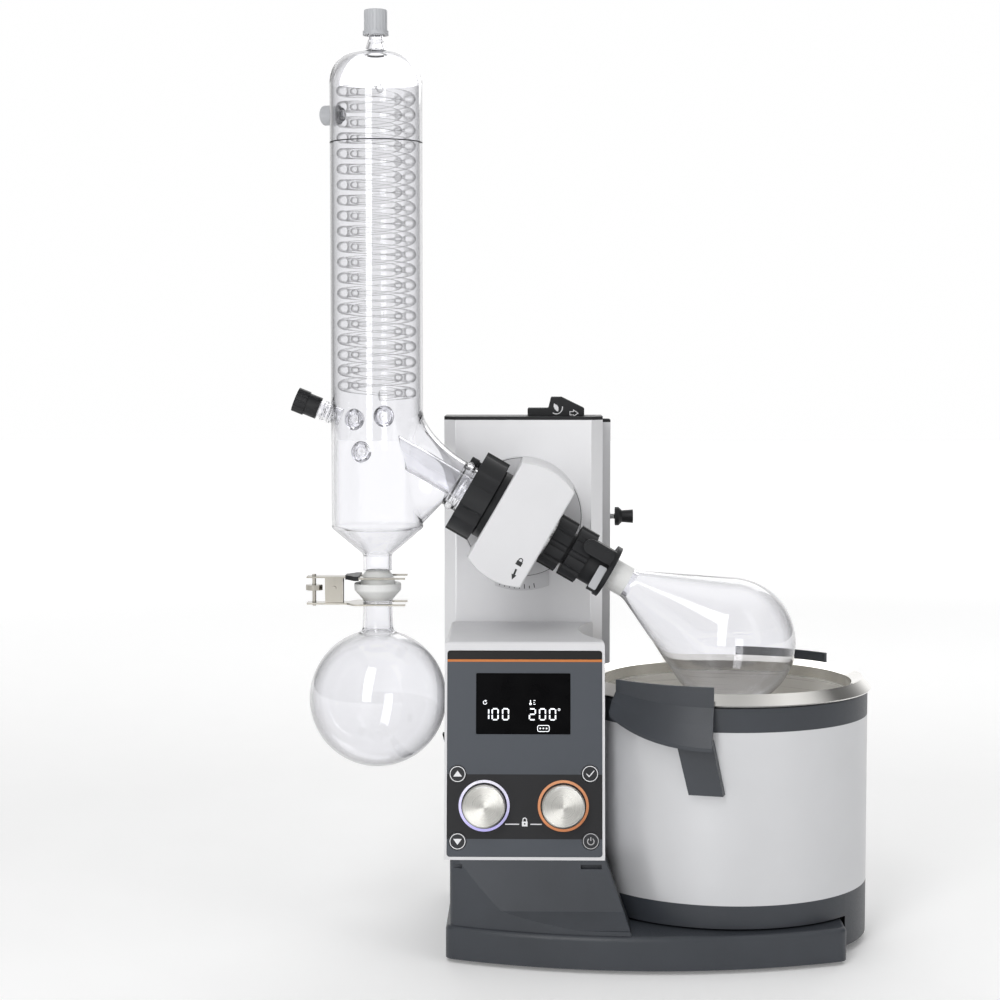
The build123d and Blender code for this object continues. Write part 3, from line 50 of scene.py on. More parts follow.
x_axis, y_axis, z_axis = Vector((1, 0, 0)), Vector((0, 1, 0)), Vector((0, 0, 1))
front = -y_axis
pivot = Vector(joint["spin"]["pos_m"])
spin_dir = Vector(joint["spin"]["axis"]).normalized()
arm_up = Vector((-spin_dir.z, 0, spin_dir.x))
condenser = Vector((-204.5, 0, 0)) * mm
panel_origin = Vector((-55.85, -125.0, 103.0)) * mm
panel_normal = Vector(joint["speed_knob_turn"]["axis"]).normalized()
panel_up = x_axis.cross(-panel_normal).normalized()
panel_sheet = (panel_origin, x_axis, panel_up, panel_normal)
knobs = ("speed_knob", "heat_knob")


# Shader nodes

noise_span = (0.3, 0.7)


def node(tree, kind, inputs=None, **settings):
    """Adds a shader node; an input is a plain value or the output of another node."""
    made = tree.nodes.new("ShaderNode" + kind)
    for key, value in settings.items():
        setattr(made, key, value)
    for key, value in (inputs or {}).items():
        if isinstance(value, bpy.types.NodeSocket):
            tree.links.new(value, made.inputs[key])
        else:
            made.inputs[key].default_value = value
    return made


def maths(tree, operation, *values):
    return node(tree, "Math", dict(enumerate(values)), operation=operation).outputs["Value"]


def vector_maths(tree, operation, *values, output="Vector"):
    return node(tree, "VectorMath", dict(enumerate(values)), operation=operation).outputs[output]


def mapped(tree, value, start=0.0, end=1.0, low=0.0, high=1.0):
    """Maps a value from the span start to end onto the span low to high, and holds it beyond both ends."""
    spans = {"Value": value, "From Min": start, "From Max": end, "To Min": low, "To Max": high}
    return node(tree, "MapRange", spans).outputs["Result"]


def ramp(tree, fac, stops, interpolation="LINEAR"):
    """A colour ramp through stops, each a position from 0 to 1 and a colour."""
    made = node(tree, "ValToRGB", {"Fac": fac})
    made.color_ramp.interpolation = interpolation
    elements = made.color_ramp.elements
    while len(elements) < len(stops):
        elements.new(0.5)
    for element, (position, color) in zip(elements, stops):
        element.position = position
        element.color = (*color, 1)
    return made.outputs["Color"]


def place(tree, scale=(1, 1, 1)):
    coords = node(tree, "TexCoord").outputs["Object"]
    return node(tree, "Mapping", {"Vector": coords, "Scale": scale}).outputs["Vector"]


def noise(tree, vector, scale, detail=3.0):
    return node(tree, "TexNoise", {"Vector": vector, "Scale": scale, "Detail": detail}).outputs["Fac"]


def spread(tree, fac, level, low, high):
    """A level that a noise moves between two shares of it."""
    return mapped(tree, fac, *noise_span, level * low, level * high)


def two_tone(tree, fac, color, low, high):
    """A colour that a noise moves between two shares of its brightness."""
    tones = [tuple(min(1.0, c * share) for c in color) for share in (low, high)]
    return ramp(tree, fac, list(zip(noise_span, tones)))


def bump(tree, height, strength, distance):
    made = node(tree, "Bump", {"Height": height, "Strength": strength, "Distance": distance * mm})
    return made.outputs["Normal"]


def along(tree, origin, axis):
    """Distance of a surface point from an origin along an axis, in metres."""
    coords = node(tree, "TexCoord").outputs["Object"]
    away = vector_maths(tree, "SUBTRACT", coords, origin)
    return vector_maths(tree, "DOT_PRODUCT", away, axis, output="Value")


# Materials

glass_ior = 1.47
drift_scale = 14.0


def shader(name, color, rough, **sockets):
    """A new principled material: its tree, its shader node and plain values set on the shader's sockets."""
    mat = bpy.data.materials.new(name)
    mat.use_nodes = True
    tree = mat.node_tree
    bsdf = tree.nodes["Principled BSDF"]
    bsdf.inputs["Base Color"].default_value = (*color, 1)
    bsdf.inputs["Roughness"].default_value = rough
    for socket, value in sockets.items():
        bsdf.inputs[socket.replace("_", " ")].default_value = value
    return mat, tree, bsdf


def feed(tree, bsdf, **outputs):
    """Links outputs of nodes to the shader's sockets."""
    for socket, output in outputs.items():
        tree.links.new(output, bsdf.inputs[socket.replace("_", " ")])


def moulded(name, color, rough, grain=700.0, depth=0.06, tone=0.12, **sockets):
    """Moulded or coated surface: fine grain in the bump and the gloss, slow drift in the colour."""
    mat, tree, bsdf = shader(name, color, rough, **sockets)
    at = place(tree)
    fine = noise(tree, at, grain, 2.0)
    feed(
        tree,
        bsdf,
        Base_Color=two_tone(tree, noise(tree, at, drift_scale), color, 1 - tone, 1 + tone),
        Roughness=spread(tree, fine, rough, 0.85, 1.15),
        Normal=bump(tree, fine, 0.5, depth),
    )
    return mat


def brushed(name, color, rough, stretch, depth=0.02, tone=0.1):
    """Metal with fine lines: stretch is the scale of the noise along X, Y and Z."""
    mat, tree, bsdf = shader(name, color, rough, Metallic=1.0)
    lines = noise(tree, place(tree, stretch), 1.0, 4.0)
    feed(
        tree,
        bsdf,
        Base_Color=two_tone(tree, lines, color, 1 - tone, 1 + tone),
        Roughness=spread(tree, lines, rough, 0.7, 1.3),
        Normal=bump(tree, lines, 0.4, depth),
    )
    return mat


def spun(name, color, rough, centre, axis):
    """Metal turned on a lathe: fine rings around an axis, from the distance to it."""
    mat, tree, bsdf = shader(name, color, rough, Metallic=1.0, Anisotropic=0.85)
    coords = node(tree, "TexCoord").outputs["Object"]
    across = vector_maths(tree, "CROSS_PRODUCT", vector_maths(tree, "SUBTRACT", coords, centre), axis)
    radius = vector_maths(tree, "LENGTH", across, output="Value")
    rings = noise(tree, node(tree, "CombineXYZ", {"X": radius}).outputs["Vector"], 2600.0, 5.0)
    feed(
        tree,
        bsdf,
        Tangent=node(tree, "Tangent", direction_type="RADIAL", axis="Y").outputs["Tangent"],
        Base_Color=two_tone(tree, rings, color, 0.8, 1.1),
        Roughness=spread(tree, rings, rough, 0.7, 1.4),
        Normal=bump(tree, rings, 0.5, 0.03),
    )
    return mat


def glass(name, edge=(0.0, 0.0, 0.002)):
    """Clear glass whose colour runs to a dark painted shade where it is seen edge on, with slow drawn streaks in
    the surface.
    """
    face = (0.95, 0.95, 0.968)
    edge_shade_start = 0.32
    mat, tree, bsdf = shader(name, face, 0.0, Transmission_Weight=1.0, IOR=glass_ior)
    facing = node(tree, "LayerWeight", {"Blend": 0.35}).outputs["Facing"]
    streaks = noise(tree, place(tree, (90, 90, 18)), 1.0, 1.0)
    # painted shade: the base colour turns dark towards the outline
    feed(
        tree,
        bsdf,
        Base_Color=ramp(tree, facing, [(edge_shade_start, face), (1.0, edge)]),
        Normal=bump(tree, streaks, 0.25, 0.03),
    )
    return mat


def thin_glass(name, edge, face_alpha, edge_alpha):
    """Thin tube glass: nearly clear where it is seen face on, and denser at its outline, where its grey colour is
    painted shade.
    """
    mat, tree, bsdf = shader(name, edge, 0.06, IOR=glass_ior)
    facing = node(tree, "LayerWeight", {"Blend": 0.5}).outputs["Facing"]
    cloud = noise(tree, place(tree, (60, 60, 300)), 1.0, 1.0)
    # painted shade: the grey colour shows where the tube is seen edge on
    feed(
        tree,
        bsdf,
        Base_Color=two_tone(tree, cloud, edge, 0.85, 1.15),
        Alpha=mapped(tree, facing, 0.55, 1.0, face_alpha, edge_alpha),
    )
    return mat


def profiled(name, color, rough, left, right, width):
    """Coated sheet whose corner profiles, a width in from its left and right sides, are satin metal."""
    mat, tree, bsdf = shader(name, color, rough)
    at = place(tree)
    fine = noise(tree, at, 1100.0, 2.0)
    from_middle = maths(tree, "ABSOLUTE", along(tree, ((left + right) / 2 * mm, 0, 0), (1, 0, 0)))
    corner = maths(tree, "GREATER_THAN", from_middle, ((right - left) / 2 - width) * mm)
    feed(
        tree,
        bsdf,
        Base_Color=two_tone(tree, noise(tree, at, drift_scale), color, 0.98, 1.02),
        Metallic=mapped(tree, corner, high=0.9),
        Roughness=spread(tree, fine, rough, 0.85, 1.15),
        Normal=bump(tree, fine, 0.5, 0.02),
    )
    return mat


def banded(name, origin, axis, span, bands, rough):
    """Printed foil: each band is the place along an axis, out of a span, where its colour starts."""
    mat, tree, bsdf = shader(name, bands[0][1], rough, Specular_IOR_Level=0.25)
    share = mapped(tree, along(tree, origin, axis), end=span * mm)
    grain = noise(tree, place(tree), 1500.0, 2.0)
    feed(
        tree,
        bsdf,
        Base_Color=ramp(tree, share, [(start / span, color) for start, color in bands], "CONSTANT"),
        Roughness=spread(tree, grain, rough, 0.85, 1.15),
        Normal=bump(tree, grain, 0.4, 0.01),
    )
    return mat


def rimmed(name, color, satin, polish, level):
    """Drawn steel that is satin below a level and polished above it."""
    mat, tree, bsdf = shader(name, color, satin)
    lines = noise(tree, place(tree, (6, 6, 2500)), 1.0, 3.0)
    rise = mapped(tree, along(tree, (0, 0, level * mm), (0, 0, 1)), -mm, mm)
    soft = spread(tree, lines, satin, 0.97, 1.03)
    feed(
        tree,
        bsdf,
        Base_Color=two_tone(tree, noise(tree, place(tree), 9.0), color, 0.93, 1.05),
        Metallic=mapped(tree, rise, low=0.5),
        Roughness=node(tree, "Mix", {0: rise, 2: soft, 3: polish}).outputs[0],
        Normal=bump(tree, lines, 0.05, 0.004),
    )
    return mat


def frosted(name, color, rough):
    """Ground glass of a joint: rough transmission with a fine white grain."""
    mat, tree, bsdf = shader(name, color, rough, Transmission_Weight=0.2, IOR=glass_ior)
    grain = noise(tree, place(tree), 1400.0, 2.0)
    feed(
        tree,
        bsdf,
        Base_Color=two_tone(tree, grain, color, 0.9, 1.05),
        Normal=bump(tree, grain, 0.6, 0.05),
    )
    return mat


def glowing(name, color, rough, strength, low_color=None):
    """Lit translucent plastic: a soft glow with a little unevenness, and another tone low on the panel."""
    mat, tree, bsdf = shader(name, color, rough, Emission_Strength=strength)
    tone = two_tone(tree, noise(tree, place(tree), 160.0), color, 0.85, 1.05)
    if low_color:
        rise = mapped(tree, along(tree, panel_origin, panel_up), ring_low * mm, ring_high * mm)
        mix = node(tree, "MixRGB", {"Fac": rise, "Color1": (*low_color, 1), "Color2": tone})
        tone = mix.outputs["Color"]
    feed(tree, bsdf, Base_Color=tone, Emission_Color=tone)
    return mat


pan_polish_level = 246.0
tower_left, tower_right, tower_corner = -140.8, 23.5, 13.0
ring_low, ring_high = 24.0, 73.0
panel_height = 196.8
panel_grey = (0.080, 0.088, 0.102)
panel_bands = [
    (0.0, panel_grey),
    (16.3, (0.022, 0.022, 0.024)),
    (78.4, panel_grey),
    (185.3, (0.56, 0.19, 0.055)),
    (187.6, (0.013, 0.012, 0.012)),
]
slot_looks = {
    "dark_plastic": moulded("dark_plastic", (0.038, 0.043, 0.052), 0.42, Specular_IOR_Level=0.5),
    "white_coat": moulded("white_coat", (0.70, 0.70, 0.715), 0.38, grain=1100.0, depth=0.02, tone=0.02),
    "plate_steel": brushed("plate_steel", (0.5, 0.5, 0.5), 0.4, (30, 900, 30)),
    "foot_rubber": moulded("foot_rubber", (0.02, 0.02, 0.021), 0.8, grain=500.0, depth=0.1),
    "panel_grey": banded("panel_grey", panel_origin, panel_up, panel_height, panel_bands, 0.38),
    "display_black": moulded(
        "display_black", (0.0015, 0.0015, 0.002), 0.3, grain=60.0, depth=0.002, Specular_IOR_Level=0.06
    ),
    "board_green": moulded("board_green", (0.02, 0.14, 0.05), 0.5, grain=300.0),
    "ring_white": glowing("ring_white", (0.80, 0.79, 0.88), 0.3, 0.30, low_color=(0.50, 0.46, 0.88)),
    "ring_orange": glowing("ring_orange", (0.66, 0.30, 0.15), 0.3, 0.22, low_color=(0.60, 0.22, 0.09)),
    "black_plastic": moulded(
        "black_plastic", (0.013, 0.0135, 0.015), 0.42, grain=900.0, depth=0.05, Specular_IOR_Level=0.3
    ),
    "button_grey": moulded(
        "button_grey", (0.03, 0.031, 0.034), 0.4, grain=1200.0, depth=0.02, Specular_IOR_Level=0.25
    ),
    "knob_metal": brushed("knob_metal", (0.72, 0.71, 0.69), 0.25, (700, 700, 700)),
    "bright_steel": brushed("bright_steel", (0.6, 0.6, 0.6), 0.25, (60, 60, 900)),
    "cast_aluminium": brushed("cast_aluminium", (0.6, 0.6, 0.62), 0.4, (300, 300, 300)),
    "belt_rubber": moulded("belt_rubber", (0.02, 0.02, 0.02), 0.7, grain=400.0),
    "seal_white": moulded("seal_white", (0.8, 0.8, 0.78), 0.35),
    "clear_glass": glass("clear_glass"),
    "cap_grey": moulded("cap_grey", (0.47, 0.48, 0.50), 0.4, grain=800.0, depth=0.03, tone=0.05),
    "clamp_nickel": brushed(
        "clamp_nickel", (0.40, 0.38, 0.34), 0.12, (200, 200, 30), depth=0.01, tone=0.06
    ),
    "pan_steel": rimmed("pan_steel", (0.90, 0.885, 0.85), 0.28, 0.12, pan_polish_level),
    "bath_silver": moulded(
        "bath_silver", (0.66, 0.665, 0.68), 0.36, grain=1800.0, depth=0.015, tone=0.02, Metallic=0.3
    ),
}
for row in frame["record"]["subparts"]:
    solid = nodes[row["node"]]
    solid.data.materials.clear()
    solid.data.materials.append(slot_looks[row["material_slot"]])
tower_coat = profiled("tower_coat", (0.86, 0.86, 0.875), 0.34, tower_left, tower_right, tower_corner)
nodes["lift_cover"].data.materials[0] = tower_coat
for knob in knobs:
    turning = joint[knob + "_turn"]
    metal = spun(knob + "_metal", (0.78, 0.77, 0.73), 0.30, turning["pos_m"], turning["axis"])
    nodes[knob].data.materials[0] = metal

ground_glass = frosted("ground_glass", (0.96, 0.97, 0.95), 0.5)
jointed_glass = [slot_looks["clear_glass"], ground_glass]
# port glass with a grey painted shade at its outline
port_clear = glass("port_clear", edge=(0.30, 0.30, 0.33))
# coil glass: dark grey painted shade at the tubes' outlines
coil_glass = thin_glass("coil_glass", (0.05, 0.05, 0.06), 0.015, 0.95)
printed_white = moulded("printed_white", (0.80, 0.80, 0.82), 0.45, tone=0.03, depth=0.01)
printed_grey = moulded("printed_grey", (0.42, 0.42, 0.43), 0.45, tone=0.04, depth=0.01)
printed_black = moulded("printed_black", (0.012, 0.012, 0.013), 0.5, tone=0.05, depth=0.01)
display_light = glowing("display_light", (0.85, 0.87, 0.90), 0.4, 0.9)


# Building pieces

def rounded(corners, steps=8):
    """Profile through (x, y) corners; a corner with a third number is rounded to that radius."""
    points = []
    for k, corner in enumerate(corners):
        here = Vector(corner[:2])
        if len(corner) < 3:
            points.append(here)
            continue
        back = (Vector(corners[k - 1][:2]) - here).normalized()
        ahead = (Vector(corners[(k + 1) % len(corners)][:2]) - here).normalized()
        half = back.angle(ahead) / 2
        reach = corner[2] / max(sin(half) / cos(half), 1e-6)
        centre = here + (back + ahead).normalized() * (corner[2] / sin(half))
        start = here + back * reach - centre
        end = here + ahead * reach - centre
        turn = start.angle_signed(end)
        points += [centre + Matrix.Rotation(-turn * i / steps, 2) @ start for i in range(steps + 1)]
    return [tuple(p) for p in points]


def round_part(centre, radius, start, end, steps):
    """Points on a round profile about (0, centre); angles in degrees from the direction of the axis."""
    angles = [radians(start + (end - start) * i / steps) for i in range(steps + 1)]
    return [(abs(radius * sin(a)) if abs(sin(a)) > 1e-9 else 0.0, centre + radius * cos(a)) for a in angles]


def turn_into(bm, profile, origin, axis, sides, closed=True, ground=None):
    """Adds a shape turned about an axis from (radius, distance) points; the ground span gets slot 1."""
    across = axis.orthogonal().normalized()
    upright = axis.cross(across)
    spokes = [across * cos(tau * i / sides) + upright * sin(tau * i / sides) for i in range(sides)]
    rings = []
    for radius, distance in profile:
        centre = origin + axis * (distance * mm)
        if radius < 1e-6:
            rings.append([bm.verts.new(centre)] * sides)
        else:
            rings.append([bm.verts.new(centre + spoke * (radius * mm)) for spoke in spokes])
    following = rings[1:] + rings[:1] if closed else rings[1:]
    levels = [point[1] for point in profile]
    for k, (low, high) in enumerate(zip(rings, following)):
        level = (levels[k] + levels[(k + 1) % len(levels)]) / 2
        for i in range(sides):
            corners = list(dict.fromkeys((low[i], low[i - 1], high[i - 1], high[i])))
            if len(corners) > 2:
                face = bm.faces.new(corners)
                face.material_index = 1 if ground and ground[0] < level < ground[1] else 0


def turned(profile, origin, axis, sides, closed=True, ground=None):
    bm = bmesh.new()
    turn_into(bm, profile, origin, axis, sides, closed, ground)
    return finished(bm)


def join(bm, ring, following):
    """Adds a band of faces between two rings and returns the second."""
    for i in range(len(ring)):
        bm.faces.new((ring[i - 1], ring[i], following[i], following[i - 1]))
    return following


def tube_along(bm, path, radius, sides=12):
    """Adds a round tube along a path, closed at both ends."""
    rings = []
    side = (path[1] - path[0]).orthogonal().normalized()
    turns = [tau * i / sides for i in range(sides)]
    for k, point in enumerate(path):
        ahead = (path[min(k + 1, len(path) - 1)] - path[max(k - 1, 0)]).normalized()
        side = (side - ahead * side.dot(ahead)).normalized()
        other = ahead.cross(side)
        rings.append([bm.verts.new(point + (side * cos(a) + other * sin(a)) * radius) for a in turns])
    for low, high in zip(rings, rings[1:]):
        join(bm, low, high)
    bm.faces.new(rings[0])
    bm.faces.new(rings[-1])


def finished(bm, sharp=40.0):
    """Turns a bmesh into a smooth shaded mesh with outward faces and sharp edges above an angle."""
    bmesh.ops.recalc_face_normals(bm, faces=bm.faces)
    for face in bm.faces:
        face.smooth = True
    mesh = bpy.data.meshes.new("shape")
    bm.to_mesh(mesh)
    bm.free()
    mesh.set_sharp_from_angle(angle=radians(sharp))
    return mesh


def piece(name, mesh, body, slot, *stands_for, looks=None):
    """Puts a mesh in the scene, on a body, with the look of a record slot unless looks are given."""
    mesh.name = name
    for look in looks or [slot_looks[slot]]:
        mesh.materials.append(look)
    made = bpy.data.objects.new(name, mesh)
    bpy.context.scene.collection.objects.link(made)
    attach(made, body)
    if stands_for:
        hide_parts(*stands_for)


# Pear flask

flask_neck_radius = 15.6
flask_neck_start = 97.0
flask_neck_end = 126.0
flask_neck_fillet = 22.0
flask_centre = 243.0
flask_radius = 65.0
flask_wall = 1.5
flask_turn = 25.85
flask_ground = (flask_neck_start - 1, flask_neck_end - 4)


def flask_skin(inset):
    radius = flask_radius - inset
    neck = flask_neck_radius - inset
    bulb = round_part(flask_centre, radius, 90 + flask_turn, 0, 40)
    corners = [(neck, flask_neck_start), (neck, flask_neck_end, flask_neck_fillet), bulb[0]]
    return rounded(corners) + bulb[1:]


flask_profile = flask_skin(0) + flask_skin(flask_wall)[::-1]
flask_mesh = turned(flask_profile, pivot, spin_dir, 128, ground=flask_ground)
piece("flask_glass", flask_mesh, "rotor", "clear_glass", "evaporating_flask", looks=jointed_glass)


# Receiving flask with the cup of its ball joint

receiver_centre = 236.5
receiver_radius = 69.0
receiver_wall = 2.4
receiver_neck = 22.0
outlet_radius = 14.5
joint_z = 352.0
ball_radius = 17.5
cup_gap = 0.3
cup_bore = ball_radius + cup_gap
cup_low = 336.0
cup_cone_top = 346.0
cup_rim_radius = 23.5
cup_rim_top = 353.0


def receiver_skin(inset):
    radius = receiver_radius - inset
    neck = outlet_radius - inset
    shoulder = receiver_centre + sqrt(radius**2 - neck**2)
    bulb = round_part(receiver_centre, radius, 180, 18, 48)
    return bulb + rounded([bulb[-1], (neck + 1, shoulder, 7), (neck, shoulder + receiver_neck)])[1:]


cup_corners = [
    (outlet_radius, cup_low - 8),
    (outlet_radius, cup_low, 6),
    (cup_rim_radius, cup_cone_top, 4),
    (cup_rim_radius, cup_rim_top, 1),
    (cup_bore, cup_rim_top),
]
cup_profile = rounded(cup_corners)[1:-1] + round_part(joint_z, cup_bore, 90, 136, 8)
receiver_profile = receiver_skin(0) + cup_profile + receiver_skin(receiver_wall)[::-1]
receiver_mesh = turned(receiver_profile, condenser, z_axis, 128, ground=(cup_low, cup_rim_top + 1))
piece("receiver_glass", receiver_mesh, "head", "clear_glass", "receiving_flask", looks=jointed_glass)


# Condenser jacket: a turned body with an opening in its side that flares into the arm

jacket_radius = 46.0
jacket_wall = 2.8
jacket_columns = 96
jacket_ground_top = 367.0
outlet_top = 382.0
funnel_top = 408.5
crown_z = 879.0
crown_fillet = 30.0
tip_radius = 7.6
tip_low = 882.0
tip_fillet_z = 892.0
tip_top = 897.0
opening_z = 469.5
opening_half = 56.0
opening_turn = 41.0
opening_steps = 5
patch_columns = 17
patch_low = 412.0
patch_high = 552.0
patch_rows = 26
flare_steps = 16
arm_radius = 24.5
arm_wall = 3.0
arm_start = -78.0
arm_rings = ((-76, 0), (-74.5, 1.6), (-72, 2.5), (-69.5, 1.6), (-68, 0), (-62, 0))


def on_jacket(radius, turn, z):
    return condenser + Vector((radius * cos(turn), radius * sin(turn), z)) * mm


def arm_point(distance, radius, way):
    across = arm_up * sin(way) + y_axis * cos(way)
    return pivot + spin_dir * (distance * mm) + across * (radius * mm)


def hermite(start, start_pull, end, end_pull, s):
    a = 2 * s**3 - 3 * s**2 + 1
    b = s**3 - 2 * s**2 + s
    return start * a + start_pull * b + end * (1 - a) + end_pull * (s**3 - s**2)


def jacket_profile(inset):
    """Profile of one skin from the ball joint up to the tip, and where the patch's rows start in it."""
    body = jacket_radius - inset
    tip = tip_radius - inset * 0.7
    outlet = outlet_radius - inset
    if inset:
        start = [(outlet, joint_z - ball_radius * cos(radians(42)))]
    else:
        start = round_part(joint_z, ball_radius, 138, 38, 10)
    patch = [(body, patch_low + (patch_high - patch_low) * k / patch_rows) for k in range(patch_rows + 1)]
    funnel = [
        (outlet, joint_z + 14),
        (outlet, outlet_top + inset / 2, 5),
        (body, funnel_top + inset / 2, 4),
        patch[0],
    ]
    crown = [
        patch[-1],
        (body, crown_z - inset, crown_fillet),
        (tip + 3.2, tip_low - inset, 2),
        (tip, tip_fillet_z - inset, 6),
        (tip, tip_top),
    ]
    below = start + rounded(funnel)[:-1]
    return below + patch + rounded(crown)[1:], len(below)


def jacket_body(bm, profile, first):
    """Rings of the turned body, with faces between them except in the patch around the arm."""
    angles = [tau * i / jacket_columns for i in range(jacket_columns)]
    rings = [[bm.verts.new(on_jacket(radius, a, z)) for a in angles] for radius, z in profile]
    for k, (low, high) in enumerate(zip(rings, rings[1:])):
        for i in range(jacket_columns):
            column = i - 1 if i <= jacket_columns // 2 else i - 1 - jacket_columns
            in_rows = first <= k < first + patch_rows
            if not (in_rows and -patch_columns <= column < patch_columns):
                bm.faces.new((low[i - 1], low[i], high[i], high[i - 1]))
    return rings


def patch_loop(first):
    """The patch's edge as pairs of column and row, once around."""
    last = first + patch_rows
    columns = range(-patch_columns, patch_columns)
    loop = [(c, first) for c in columns] + [(patch_columns, k) for k in range(first, last)]
    return loop + [(-c, last) for c in columns] + [(-patch_columns, last - k) for k in range(patch_rows)]


def open_side(bm, edge, corners, ways, inset):
    """Rings on the body that lead from the patch's edge to the round opening."""
    body = jacket_radius - inset
    half = opening_half - inset
    half_turn = radians(opening_turn) - inset / body
    for step in range(1, opening_steps + 1):
        share = step / opening_steps
        ring = []
        for (turn, z), way in zip(corners, ways):
            to_turn = half_turn * cos(way) - turn
            to_z = opening_z + half * sin(way) - z
            ring.append(bm.verts.new(on_jacket(body, turn + to_turn * share, z + to_z * share)))
        edge = join(bm, edge, ring)
    return edge


def flare_point(start, way, middle, radius, share):
    """A point on the flare from the opening to the arm, curved above and straight below."""
    end = arm_point(arm_start, radius, way)
    chord = end - start
    outward = Vector((start.x - condenser.x, start.y, 0)).normalized()
    inward = middle - start
    inward = (inward - outward * inward.dot(outward)).normalized()
    straight = max(0.0, -sin(way)) ** 0.5
    leave = (inward * chord.length * (0.4 + 0.3 * sin(way))).lerp(chord, straight)
    arrive = (spin_dir * chord.length * 1.1).lerp(chord, straight)
    return hermite(start, leave, end, arrive, share)


def jacket_skin(bm, inset):
    """One skin of the jacket; returns its three open edges: outlet, tip and arm."""
    profile, first = jacket_profile(inset)
    rings = jacket_body(bm, profile, first)
    loop = patch_loop(first)
    corners = [(tau * c / jacket_columns, profile[k][1]) for c, k in loop]
    patch_turn = tau * patch_columns / jacket_columns
    patch_half = (patch_high - patch_low) / 2
    patch_middle = (patch_high + patch_low) / 2
    ways = [atan2((z - patch_middle) / patch_half, turn / patch_turn) for turn, z in corners]
    edge = [rings[k][c % jacket_columns] for c, k in loop]
    edge = open_side(bm, edge, corners, ways, inset)
    starts = [v.co.copy() for v in edge]
    middle = on_jacket(jacket_radius - inset, 0, opening_z)
    arm = arm_radius - (arm_wall if inset else 0)
    for step in range(1, flare_steps + 1):
        share = step / flare_steps
        ring = [flare_point(start, way, middle, arm, share) for start, way in zip(starts, ways)]
        edge = join(bm, edge, [bm.verts.new(point) for point in ring])
    for distance, bead in arm_rings:
        ring = [arm_point(distance, arm + (0 if inset else bead), way) for way in ways]
        edge = join(bm, edge, [bm.verts.new(point) for point in ring])
    return rings[0], rings[-1], edge


def jacket_mesh():
    jacket = bmesh.new()
    for outside, inside in zip(jacket_skin(jacket, 0), jacket_skin(jacket, jacket_wall)):
        join(jacket, outside, inside)
    for face in jacket.faces:
        face.material_index = 1 if face.calc_center_median().z < jacket_ground_top * mm else 0
    return finished(jacket, 60)


piece("jacket_glass", jacket_mesh(), "head", "clear_glass", "condenser_jacket", looks=jointed_glass)


# Ports on the jacket: feed neck with its thread, vent stub, and three hose ports at the back

feed_origin = Vector(joint["feed_cap_turn"]["pos_m"])
feed_dir = Vector(joint["feed_cap_turn"]["axis"]).normalized()
if feed_dir.x > 0:
    feed_dir.negate()
feed_radius, feed_crest, feed_bore = 9.0, 10.0, 6.6
feed_start, feed_end = 40.0, 62.6
feed_threads = (48.0, 55.0)
feed_fillet = 0.4
vent_turn = radians(32)
vent_dir = Vector((-cos(vent_turn), sin(vent_turn), 0))
vent_origin = condenser + z_axis * (822 * mm)
vent_start, vent_end = 43.5, 49.5
port_radius, port_bore, port_collar = 7.0, 5.0, 11.0
port_end = 48.7
port_places = ((-27.0, 516.0), (4.0, 519.0), (-20.0, 483.0))


def feed_neck():
    corners = [(feed_radius, feed_start)]
    for low in feed_threads:
        corners += [(feed_radius, low, feed_fillet), (feed_crest, low + 1, feed_fillet)]
        corners += [(feed_crest, low + 3, feed_fillet), (feed_radius, low + 4, feed_fillet)]
    corners += [(feed_radius, feed_end, feed_fillet), (feed_bore, feed_end), (feed_bore, feed_start)]
    return rounded(corners)


def hose_port(wall):
    """Profile of a port whose collar is melted into the jacket's wall, at a distance from the axis."""
    foot = wall - 6
    outside = [(port_radius, foot), (port_collar, wall - 3.2, 1), (port_collar, wall - 1.5, 1)]
    outside += [(port_radius, wall + 0.5), (port_radius, port_end)]
    return rounded(outside + [(port_bore, port_end), (port_bore, foot)])


vent_stub = [(port_radius, vent_start), (port_radius, vent_end)]
vent_stub += [(port_bore, vent_end), (port_bore, vent_start)]
ports = bmesh.new()
turn_into(ports, feed_neck(), feed_origin, feed_dir, 48)
turn_into(ports, vent_stub, vent_origin, vent_dir, 40)
for offset_x, port_z in port_places:
    port_origin = condenser + Vector((offset_x, 0, port_z)) * mm
    turn_into(ports, hose_port(sqrt(jacket_radius**2 - offset_x**2)), port_origin, y_axis, 40)
piece("port_glass", finished(ports), "head", "clear_glass", looks=[port_clear])


# Level line printed on the front half of the jacket

level_z = 791.5
level_half = 0.55
level_lifts = (0.02, 0.12)
level_steps = 64


def level_mesh():
    bm = bmesh.new()
    inner, outer = (jacket_radius + lift for lift in level_lifts)
    corners = ((inner, -level_half), (outer, -level_half), (outer, level_half), (inner, level_half))
    turns = [radians(180 + 180 * k / level_steps) for k in range(level_steps + 1)]
    rings = [[bm.verts.new(on_jacket(radius, a, level_z + z)) for a in turns] for radius, z in corners]
    for low, high in zip(rings, rings[1:] + rings[:1]):
        for i in range(level_steps):
            bm.faces.new((low[i], low[i + 1], high[i + 1], high[i]))
    for end in (0, -1):
        bm.faces.new([ring[end] for ring in rings])
    return finished(bm)


piece("level_line", level_mesh(), "head", "black_plastic")


# Cooling coils: tubes on two helices; the inner one ends in a tip at the top

coil_pitch = 15.3
coil_steps = 40
coil_low = 540.0
coil_turns = 20
coil_sizes = {"outer_coil": (34.2, 5.4), "inner_coil": (22.5, 3.6)}
tip_bend = 7.0
tip_height = 868.0
tip_steps = 16


def helix(radius):
    points = []
    for k in range(coil_turns * coil_steps + 1):
        turn = tau * k / coil_steps
        height = coil_low + coil_pitch * k / coil_steps
        points.append(Vector((radius * sin(turn), radius * cos(turn), height)))
    return points


